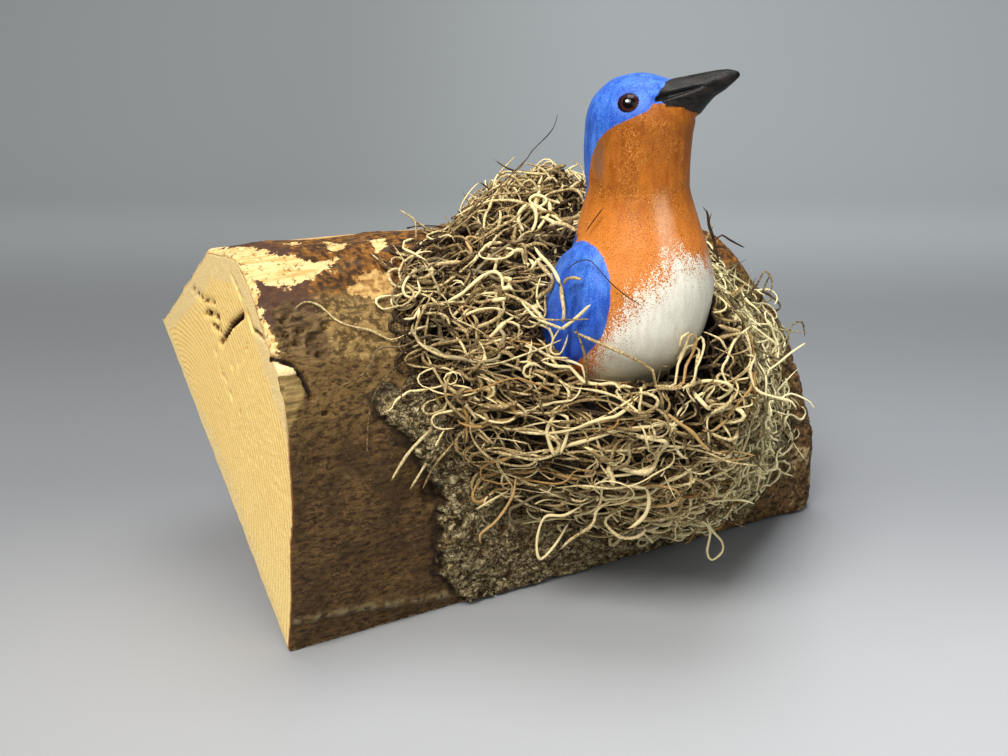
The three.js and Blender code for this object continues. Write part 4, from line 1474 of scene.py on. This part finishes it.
# %% Turn strands into round tubes
def tubes(name, strands, resolution):
    """One mesh of round strands, with a tone for each strand kept on its points."""
    curve = bpy.data.curves.new(name, "CURVE")
    curve.dimensions = "3D"
    curve.bevel_depth = 1.0
    curve.bevel_resolution = resolution
    for line, radii, _, _ in strands:
        spline = curve.splines.new("POLY")
        spline.points.add(len(line) - 1)
        four = np.concatenate([line, np.ones((len(line), 1))], axis=1)
        spline.points.foreach_set("co", four.ravel())
        spline.points.foreach_set("radius", np.asarray(radii, dtype=float))
    holder = bpy.data.objects.new(name, curve)
    bpy.context.scene.collection.objects.link(holder)
    shown = holder.evaluated_get(bpy.context.evaluated_depsgraph_get())
    mesh = bpy.data.meshes.new_from_object(shown)
    mesh.name = name
    bpy.data.objects.remove(holder)
    bpy.data.curves.remove(curve)
    sides = len(mesh.vertices) // sum(len(strand[0]) for strand in strands)
    tones, kinds = [], []
    for line, _, depth, kind in strands:
        fixed = kind is not None
        # A grown strand's tone is darker the deeper it lies in the heap: painted shade.
        tone = kind[0] if fixed else chance.normal(0.6 - 0.85 * max(depth, -0.1), 0.24)
        drift = np.interp(np.linspace(0, 3, len(line)), range(4), chance.normal(0, 0.1, 4))
        tones.append(np.repeat(np.clip(tone + drift, 0.02, 1.0), sides))
        kinds.append(np.full(len(line) * sides, kind[1] if fixed else chance.random()))
    keep(mesh, "tone", np.concatenate(tones))
    keep(mesh, "kind", np.concatenate(kinds))
    print(name, "has", len(strands), "strands of", sides, "sides")
    print("open edges on the strands", close_mesh(mesh, 0.001))
    return mesh


# %% [markdown]
# ## Dried moss
#
# Each strand has one tone, from dark tan to cream, and a few are orange brown. A grown strand is
# darker the deeper it lies in the heap, which is painted shade, and every strand is paler low on
# the nest, which is painted light. Under a lens a strand is not smooth but scurfy, so fine noise
# varies its colour and its surface.

# %% Material of the moss
moss = Graph("dried_moss", 0.85)
moss.shader.inputs["Specular IOR Level"].default_value = 0.2
tone = moss.attribute("tone")
kind = moss.attribute("kind")
scurf = moss.clouds(0.7, 3.0)
patches = moss.clouds(5.0, 3.0)
# Strands low on the nest are made paler: painted light.
tone_with_painted_light = tone + (scurf - 0.5) * 1.0 + (patches - 0.5) * 0.4 + moss.axis(2).step(90.0, 40.0) * 0.12
far_end = (moss.axis(0) + FOOT_CENTRE[0] + (patches - 0.5) * 60.0).step(105.0, 165.0)
far_colour = moss.layers(
    paint(40, 34, 20),
    (tone_with_painted_light.step(0.1, 0.5), paint(142, 132, 90)),
    (tone_with_painted_light.step(0.42, 0.85), paint(246, 236, 186)),
)
moss_colour = moss.layers(
    paint(50, 37, 24),
    (tone_with_painted_light.step(0.05, 0.5), paint(150, 125, 82)),
    (tone_with_painted_light.step(0.42, 0.9), paint(234, 214, 160)),
    (far_end * 0.75, far_colour),
    (kind.step(0.955, 0.965) * 0.7, paint(178, 132, 72)),
    (kind.step(0.1, 0.08) * 0.75, paint(62, 46, 34)),
)
moss.finish(moss_colour, None, scurf, depth=0.0003, strength=0.9)

# The core's near-black colour is painted shade, not the colour of any moss.
shade_core = Graph("painted_shade_core", 0.95)
core_fibre = shade_core.clouds(2.0, 4.0, 0.7, bend=1.5)
core_shade_colour = shade_core.mix(core_fibre.step(0.35, 0.75), paint(14, 11, 7), paint(50, 41, 28))
shade_core.finish(core_shade_colour, None, core_fibre, depth=0.001, strength=1.0)

# %% [markdown]
# ## A dark core under the strands
#
# Between the strands one looks into shade, not at the bark. A very dark core, a few millimetres
# under the nest's surface, stands in for that shade: its colour is painted shade. It starts as a
# grid whose columns go out from the middle over the top, and back in again along the bark.

# %% Shape the dark core of painted shade
CORE_RINGS = 60
CORE_SIDES = 150
CORE_TOP = 0.7
CORE_REACH = 0.88
CORE_DEPTH = 6.5
core_mesh, spots, column, row = grid_mesh("nest_shade_core", CORE_SIDES, CORE_RINGS)
angle = spots[:, 0] * math.pi
ring_share = (spots[:, 1] + 1) / 2
outer = ring_share < CORE_TOP
share = np.where(outer, ring_share / CORE_TOP, (1 - ring_share) / (1 - CORE_TOP)) * CORE_REACH
limit = np.interp(angle, edge_angle, edge_reach, period=2 * math.pi)
core_x = NEST_X + np.cos(angle) * limit * share * LOG_LENGTH
core_round = np.clip(NEST_ROUND + np.sin(angle) * limit * share, 0, 1)
core_noise = noise_field(np.stack([core_x, core_round * ROUND_OVER, share], axis=1), 6.0, 3, 31.0)
core_high = np.maximum(nest_height(core_x, core_round) - CORE_DEPTH + 2.0 * core_noise, 0.6)
core_high = np.where(outer, core_high, 0.4)
spots[:] = over_bark(core_x, core_round, core_high)
floor_high = NICHE_FLOOR - 3.0 + 1.5 * core_noise
carved = outer & (in_niche(spots) > -3)
spots[:, 2] = np.where(carved, np.minimum(spots[:, 2], floor_high), spots[:, 2])
core_mesh.vertices.foreach_set("co", spots.ravel())
print("open edges on the core", close_mesh(core_mesh, 0.001))
core_mesh.materials.append(shade_core.material)
place_piece(core_mesh, "nest")

# %% Grow the nest
bulk = grow(
    1280, steps=34, stride=1.6, curls=(0.07, 0.2, 0.5), depth=(-0.8, 6.5), weave=4.2, thick=(0.3, 0.78),
)
curls = grow(
    480, steps=24, stride=1.1, curls=(0.18, 0.36, 0.66), depth=(-1.2, 5.5), weave=3.0, thick=(0.36, 0.6),
    side=0.8,
)
curls += grow(
    300, steps=26, stride=1.4, curls=(0.1, 0.26, 0.5), depth=(-5.5, 4.5), weave=3.0, thick=(0.4, 0.7),
    side=1.0,
)
flyers = grow(
    130, steps=26, stride=1.5, curls=(0.05, 0.16, 0.4), depth=(-0.5, 1.5), weave=2.5, thick=(0.28, 0.6),
    fringe=1.16, flight=2.4,
)
flyers += sprigs(bulk + curls, 700)
print("strands and shoots", len(bulk), len(curls), len(flyers))

# %% [markdown]
# ## Strands that catch the eye
#
# A random heap has no face of its own, so the strands that one notices in the photograph are laid
# one by one over it: forks on the wing, loops that hang out, long arcs. Each is a list of places
# in the picture, 1008 by 756. A ray from the camera through a place finds what carries the strand
# there, bird, moss or bark, and the strand lies a little above that.

# %% Find what carries a strand
FOCAL = 1200.0
PICTURE_MIDDLE = (504.0, 378.0)
NEST_IN_PICTURE = (600.0, 380.0)
LIFTS = (1.4, 4.2, 2.8)
right = Vector((math.sin(CAMERA_HEADING), -math.cos(CAMERA_HEADING), 0.0))
upward = right.cross(look)
carriers = []
for mesh in (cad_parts["log"].data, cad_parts["nest"].data, bird_mesh):
    corners = [vert.co.copy() for vert in mesh.vertices]
    carriers.append(BVHTree.FromPolygons(corners, [face.vertices[:] for face in mesh.polygons]))


def sight(across, down):
    """Direction from the camera through a place in the picture."""
    ray = look * FOCAL + right * (across - PICTURE_MIDDLE[0]) - upward * (down - PICTURE_MIDDLE[1])
    return ray.normalized()


def carried_at(across, down):
    """Distance to what carries a strand; beside the object, to what is nearer the nest's middle."""
    hits = []
    while not hits:
        rays = [tree.ray_cast(CAMERA_PLACE, sight(across, down)) for tree in carriers]
        hits = [hit[3] - lift * MILLIMETRE for hit, lift in zip(rays, LIFTS) if hit[3] is not None]
        across += (NEST_IN_PICTURE[0] - across) * 0.04
        down += (NEST_IN_PICTURE[1] - down) * 0.04
    return min(hits)


print("the nest's middle is", round(carried_at(*NEST_IN_PICTURE) * 1000), "mm from the camera")

# %% Lay a smooth line over it
PLACE_SIZE = 0.0003
STEEPEST = 0.5


def smooth_line(corners, spacing):
    """A smooth line through corners, with points about a spacing apart."""
    corners = np.asarray(corners, dtype=float)
    ahead = 2 * corners[:1] - corners[1:2]
    behind = 2 * corners[-1:] - corners[-2:-1]
    padded = np.concatenate([ahead, corners, behind])
    pieces = []
    for number in range(len(corners) - 1):
        before, start, stop, after = padded[number:number + 4]
        count = max(int(np.linalg.norm(stop - start) / spacing), 1)
        part = (np.arange(count) / count)[:, None]
        square = part * part
        cube = square * part
        pieces.append(0.5 * (
            2 * start + (stop - before) * part + (2 * before - 5 * start + 4 * stop - after) * square
            + (3 * start - before - 3 * stop + after) * cube
        ))
    pieces.append(corners[-1:])
    return np.concatenate(pieces)


def lay(places, lift=0.0):
    """Points in the log's millimetres along places of the picture, a lift above what carries them."""
    distances = np.array([carried_at(*place) - lift * MILLIMETRE for place in places])
    steps = np.linalg.norm(np.diff(np.array(places, dtype=float), axis=0), axis=1)
    run = np.concatenate([[0.0], np.cumsum(steps)]) * PLACE_SIZE
    slopes = np.abs(np.subtract.outer(run, run)) * STEEPEST
    distances = (distances[None] + slopes).min(axis=1)
    spots = [CAMERA_PLACE + sight(*place) * float(far) for place, far in zip(places, distances)]
    spots = np.array(spots) / MILLIMETRE + (*FOOT_CENTRE, 0.0)
    return clear_of_bird(smooth_line(spots, 1.3))


# %% Places of the noticed strands
CREAM = (0.95, 0.5)
TAN = (0.62, 0.5)
BROWN = (0.36, 0.5)
GOLD = (0.7, 0.97)
DARK = (0.1, 0.05)
NOTICED = [
    (CREAM, 0.55, [
        (437, 270), (421, 270), (409, 276), (403, 288), (406, 296), (415, 297), (420, 291), (417, 279),
    ]),
    (CREAM, 0.5, [(428, 262), (415, 254), (403, 248), (404, 242), (415, 238)]),
    (TAN, 0.4, [(416, 241), (415, 221), (406, 214), (398, 209)]),
    (CREAM, 0.3, [(480, 182), (473, 188), (464, 200), (460, 210), (462, 215), (467, 218)]),
    (DARK, 0.45, [(479, 182), (487, 187), (492, 195)]),
    (DARK, 0.25, [(472, 199), (485, 203), (493, 204)]),
    (BROWN, 0.4, [(438, 244), (458, 227), (468, 219), (480, 208), (492, 200)]),
    (TAN, 0.5, [(487, 212), (492, 202), (500, 190), (510, 177), (520, 167), (526, 160)]),
    (TAN, 0.5, [(524, 163), (536, 166), (547, 173), (552, 185)]),
    (BROWN, 1.0, [(567, 165), (559, 167), (553, 171), (563, 174), (561, 186), (557, 191)]),
    (CREAM, 0.35, [(555, 160), (550, 169)]),
    (CREAM, 0.3, [(569, 169), (577, 177), (586, 187)]),
    (TAN, 0.25, [(571, 161), (581, 166), (585, 181)]),
    (TAN, 0.55, [(507, 191), (513, 183), (523, 180), (531, 183), (536, 187)]),
    (CREAM, 0.85, [(528, 203), (520, 212), (518, 219), (524, 233)]),
    (CREAM, 0.85, [(528, 203), (535, 210), (536, 221), (531, 234)]),
    (CREAM, 0.85, [(549, 200), (550, 212), (544, 221), (537, 231)]),
    (TAN, 0.85, [(547, 228), (556, 223), (566, 225), (578, 232)]),
    (CREAM, 0.75, [(468, 270), (472, 264), (486, 246), (495, 243), (505, 243)]),
    (CREAM, 0.75, [
        (446, 302), (460, 295), (473, 284), (486, 274), (496, 272), (502, 278), (502, 289), (498, 297),
    ]),
    (CREAM, 0.45, [(464, 295), (480, 294), (496, 293), (500, 296)]),
    (CREAM, 0.75, [(534, 246), (540, 255), (552, 268), (561, 285)]),
    (TAN, 0.7, [(563, 286), (567, 279), (575, 278), (583, 280)]),
    (TAN, 0.8, [(561, 283), (562, 297), (564, 310), (563, 324)]),
    (CREAM, 0.8, [(528, 258), (534, 265), (532, 274)]),
    (TAN, 0.85, [(535, 259), (545, 270), (553, 280), (550, 289), (541, 295), (535, 301)]),
    (TAN, 0.7, [(503, 293), (520, 300), (535, 310), (549, 328)]),
    (CREAM, 0.7, [(591, 304), (575, 319), (560, 330)]),
    (BROWN, 0.35, [(527, 317), (555, 320), (590, 319)]),
    (BROWN, 0.5, [(576, 329), (584, 352), (588, 379)]),
    (CREAM, 0.4, [(560, 328), (553, 340), (551, 352), (560, 354), (566, 342), (568, 334)]),
    (TAN, 0.6, [(572, 331), (592, 340), (620, 352), (645, 365), (667, 382), (686, 398)]),
    (CREAM, 0.7, [(540, 361), (555, 366), (575, 367), (597, 370), (612, 380), (622, 393)]),
    (CREAM, 0.6, [(679, 349), (682, 337), (688, 333), (686, 345), (680, 360), (672, 378), (668, 388)]),
    (GOLD, 0.55, [(686, 341), (692, 334), (697, 338), (693, 352), (686, 366), (678, 380), (672, 390)]),
    (CREAM, 0.5, [(689, 352), (696, 341), (701, 337), (704, 345), (700, 360), (692, 374), (681, 386)]),
    (CREAM, 0.45, [(676, 362), (684, 350), (693, 345), (699, 350), (696, 366), (687, 380), (683, 392)]),
    (TAN, 0.45, [(683, 368), (690, 358), (697, 355), (695, 370), (688, 384), (690, 394)]),
    (TAN, 0.6, [(421, 310), (428, 304), (447, 305)]),
    (TAN, 0.5, [(422, 314), (438, 313), (447, 318), (450, 327)]),
    (CREAM, 0.6, [(402, 319), (414, 318), (419, 309), (418, 323)]),
    (TAN, 0.42, [
        (293, 310), (305, 302), (320, 306), (336, 320), (351, 326), (369, 330), (382, 336), (392, 340),
        (407, 334),
    ]),
    (BROWN, 0.4, [(435, 348), (400, 365), (380, 385), (370, 410), (367, 450), (370, 454)]),
    (TAN, 0.6, [(432, 428), (425, 435), (407, 455), (391, 481)]),
    (TAN, 0.55, [(448, 425), (440, 437), (425, 465), (409, 491)]),
    (BROWN, 0.5, [(455, 440), (450, 447), (435, 465), (422, 490)]),
    (TAN, 0.5, [
        (470, 415), (472, 437), (487, 456), (510, 465), (530, 465), (542, 457), (575, 452), (600, 451),
        (630, 450), (655, 446), (680, 447), (705, 452), (730, 462), (760, 466),
    ]),
    (GOLD, 0.4, [(702, 456), (730, 451), (757, 456)]),
    (GOLD, 0.35, [(707, 459), (737, 460), (755, 455)]),
    (GOLD, 0.7, [(659, 407), (675, 420), (692, 432), (702, 444), (712, 452)]),
    (CREAM, 0.8, [(555, 414), (547, 430), (550, 445), (555, 457)]),
    (CREAM, 0.7, [(555, 414), (567, 417), (567, 435), (560, 455)]),
    (TAN, 0.5, [(590, 412), (597, 440), (607, 462), (620, 462), (624, 455), (612, 451)]),
    (CREAM, 1.3, [(608, 464), (611, 476), (614, 487)]),
    (CREAM, 0.8, [(620, 486), (634, 485), (645, 487), (649, 500), (645, 515), (632, 527), (625, 529)]),
    (TAN, 0.7, [(625, 510), (615, 512), (605, 522), (620, 537), (637, 537), (645, 530), (640, 522)]),
    (CREAM, 0.6, [(587, 502), (565, 515), (545, 517), (537, 540), (540, 559), (555, 545), (570, 520)]),
    (TAN, 0.7, [(612, 500), (597, 510), (592, 525), (570, 540), (560, 550)]),
    (GOLD, 0.6, [(516, 477), (512, 497), (497, 520), (480, 535), (482, 545)]),
    (TAN, 0.5, [(510, 490), (492, 500), (475, 510)]),
    (CREAM, 0.55, [
        (690, 517), (700, 520), (710, 530), (707, 552), (712, 560), (722, 552), (722, 542), (712, 530),
        (705, 515),
    ]),
    (CREAM, 0.45, [(680, 512), (712, 502), (740, 500), (755, 504)]),
    (CREAM, 0.5, [(752, 325), (735, 340), (727, 360), (722, 370), (730, 390)]),
    (CREAM, 0.5, [(752, 325), (767, 337), (776, 345), (770, 356)]),
    (CREAM, 0.55, [(745, 355), (755, 357), (750, 370), (757, 390), (775, 397), (792, 402), (797, 411)]),
    (CREAM, 0.4, [(779, 400), (788, 394), (796, 395), (810, 402), (815, 411)]),
    (CREAM, 0.4, [(766, 372), (773, 367), (780, 362), (792, 352), (807, 342)]),
    (TAN, 0.5, [(520, 325), (532, 327), (545, 315), (547, 290)]),
    (CREAM, 0.55, [(520, 300), (535, 317), (552, 325), (566, 330)]),
    (CREAM, 0.5, [(538, 362), (550, 358), (566, 360), (582, 366), (590, 374)]),
    (TAN, 0.5, [(524, 342), (538, 350), (552, 357), (570, 358)]),
    (TAN, 0.5, [(536, 338), (545, 345), (549, 356), (560, 368)]),
    (CREAM, 0.4, [(541, 276), (537, 290), (538, 304), (546, 313)]),
    (BROWN, 0.4, [(770, 352), (781, 344), (788, 336), (792, 325), (802, 322), (805, 337)]),
    (BROWN, 0.4, [(738, 302), (748, 294), (757, 284), (765, 271), (772, 281), (770, 295)]),
    (DARK, 0.55, [(702, 206), (707, 212), (709, 225), (713, 237), (716, 250), (719, 262)]),
    (DARK, 0.4, [(712, 212), (709, 220), (710, 229), (714, 240)]),
    (DARK, 0.45, [(714, 245), (717, 238), (722, 235), (730, 240), (745, 248)]),
]
HAIRS = [
    [(437, 243), (467, 217), (521, 165), (533, 150), (552, 130), (558, 113)],
    [(604, 207), (594, 220), (585, 233)],
    [(564, 272), (577, 262), (588, 260), (595, 265), (610, 282), (625, 295), (644, 307)],
]
print("places in the picture", sum(len(places) for _, _, places in NOTICED))


# %% Lay the noticed strands
NOTICED_THICKNESS = 0.78
HAIR_RADIUS = 0.17
HAIR_TONE = (0.0, 0.05)


def tapered(line, radius):
    """Radii along a line, thin at both ends and a little knotty between."""
    share = np.linspace(0, 1, len(line))
    knots = 1 + 0.18 * np.sin(share * len(line) * 0.8) * np.sin(share * len(line) * 0.31 + radius * 9)
    ends = np.minimum(1.0, 0.45 + 4.0 * np.minimum(share, 1 - share))
    ends[[0, -1]] = 0.0
    return radius * ends * knots


wanted = [(kind, radius * NOTICED_THICKNESS, places) for kind, radius, places in NOTICED]
wanted += [(HAIR_TONE, HAIR_RADIUS, places) for places in HAIRS]
noticed = []
for kind, radius, places in wanted:
    line = lay(places)
    noticed.append((line, tapered(line, radius), 0.0, kind))
print("noticed strands", len(noticed))

# %% Turn strands into pieces
half = len(bulk) // 2
for name, strands in (
    ("moss_strands_1", bulk[:half]), ("moss_strands_2", bulk[half:]), ("moss_curls", curls),
    ("moss_flyers", flyers), ("moss_noticed", noticed),
):
    strand_mesh = tubes(name, strands, 1 if name == "moss_noticed" else 0)
    strand_mesh.materials.append(moss.material)
    place_piece(strand_mesh, None)

# %% [markdown]
# ## Sizes and the end
# How far the dressed object stands out of the solid model's box is printed for each side.
# The dressed object has to stay in the solid model's box.

# %% Compare the boxes and finish
dressed_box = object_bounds()
for axis_name, low, high in zip("xyz", dressed_box[0] - solid_box[0], dressed_box[1] - solid_box[1]):
    print(axis_name, "stands out by", round(-low * 1000, 1), "and", round(high * 1000, 1), "mm")
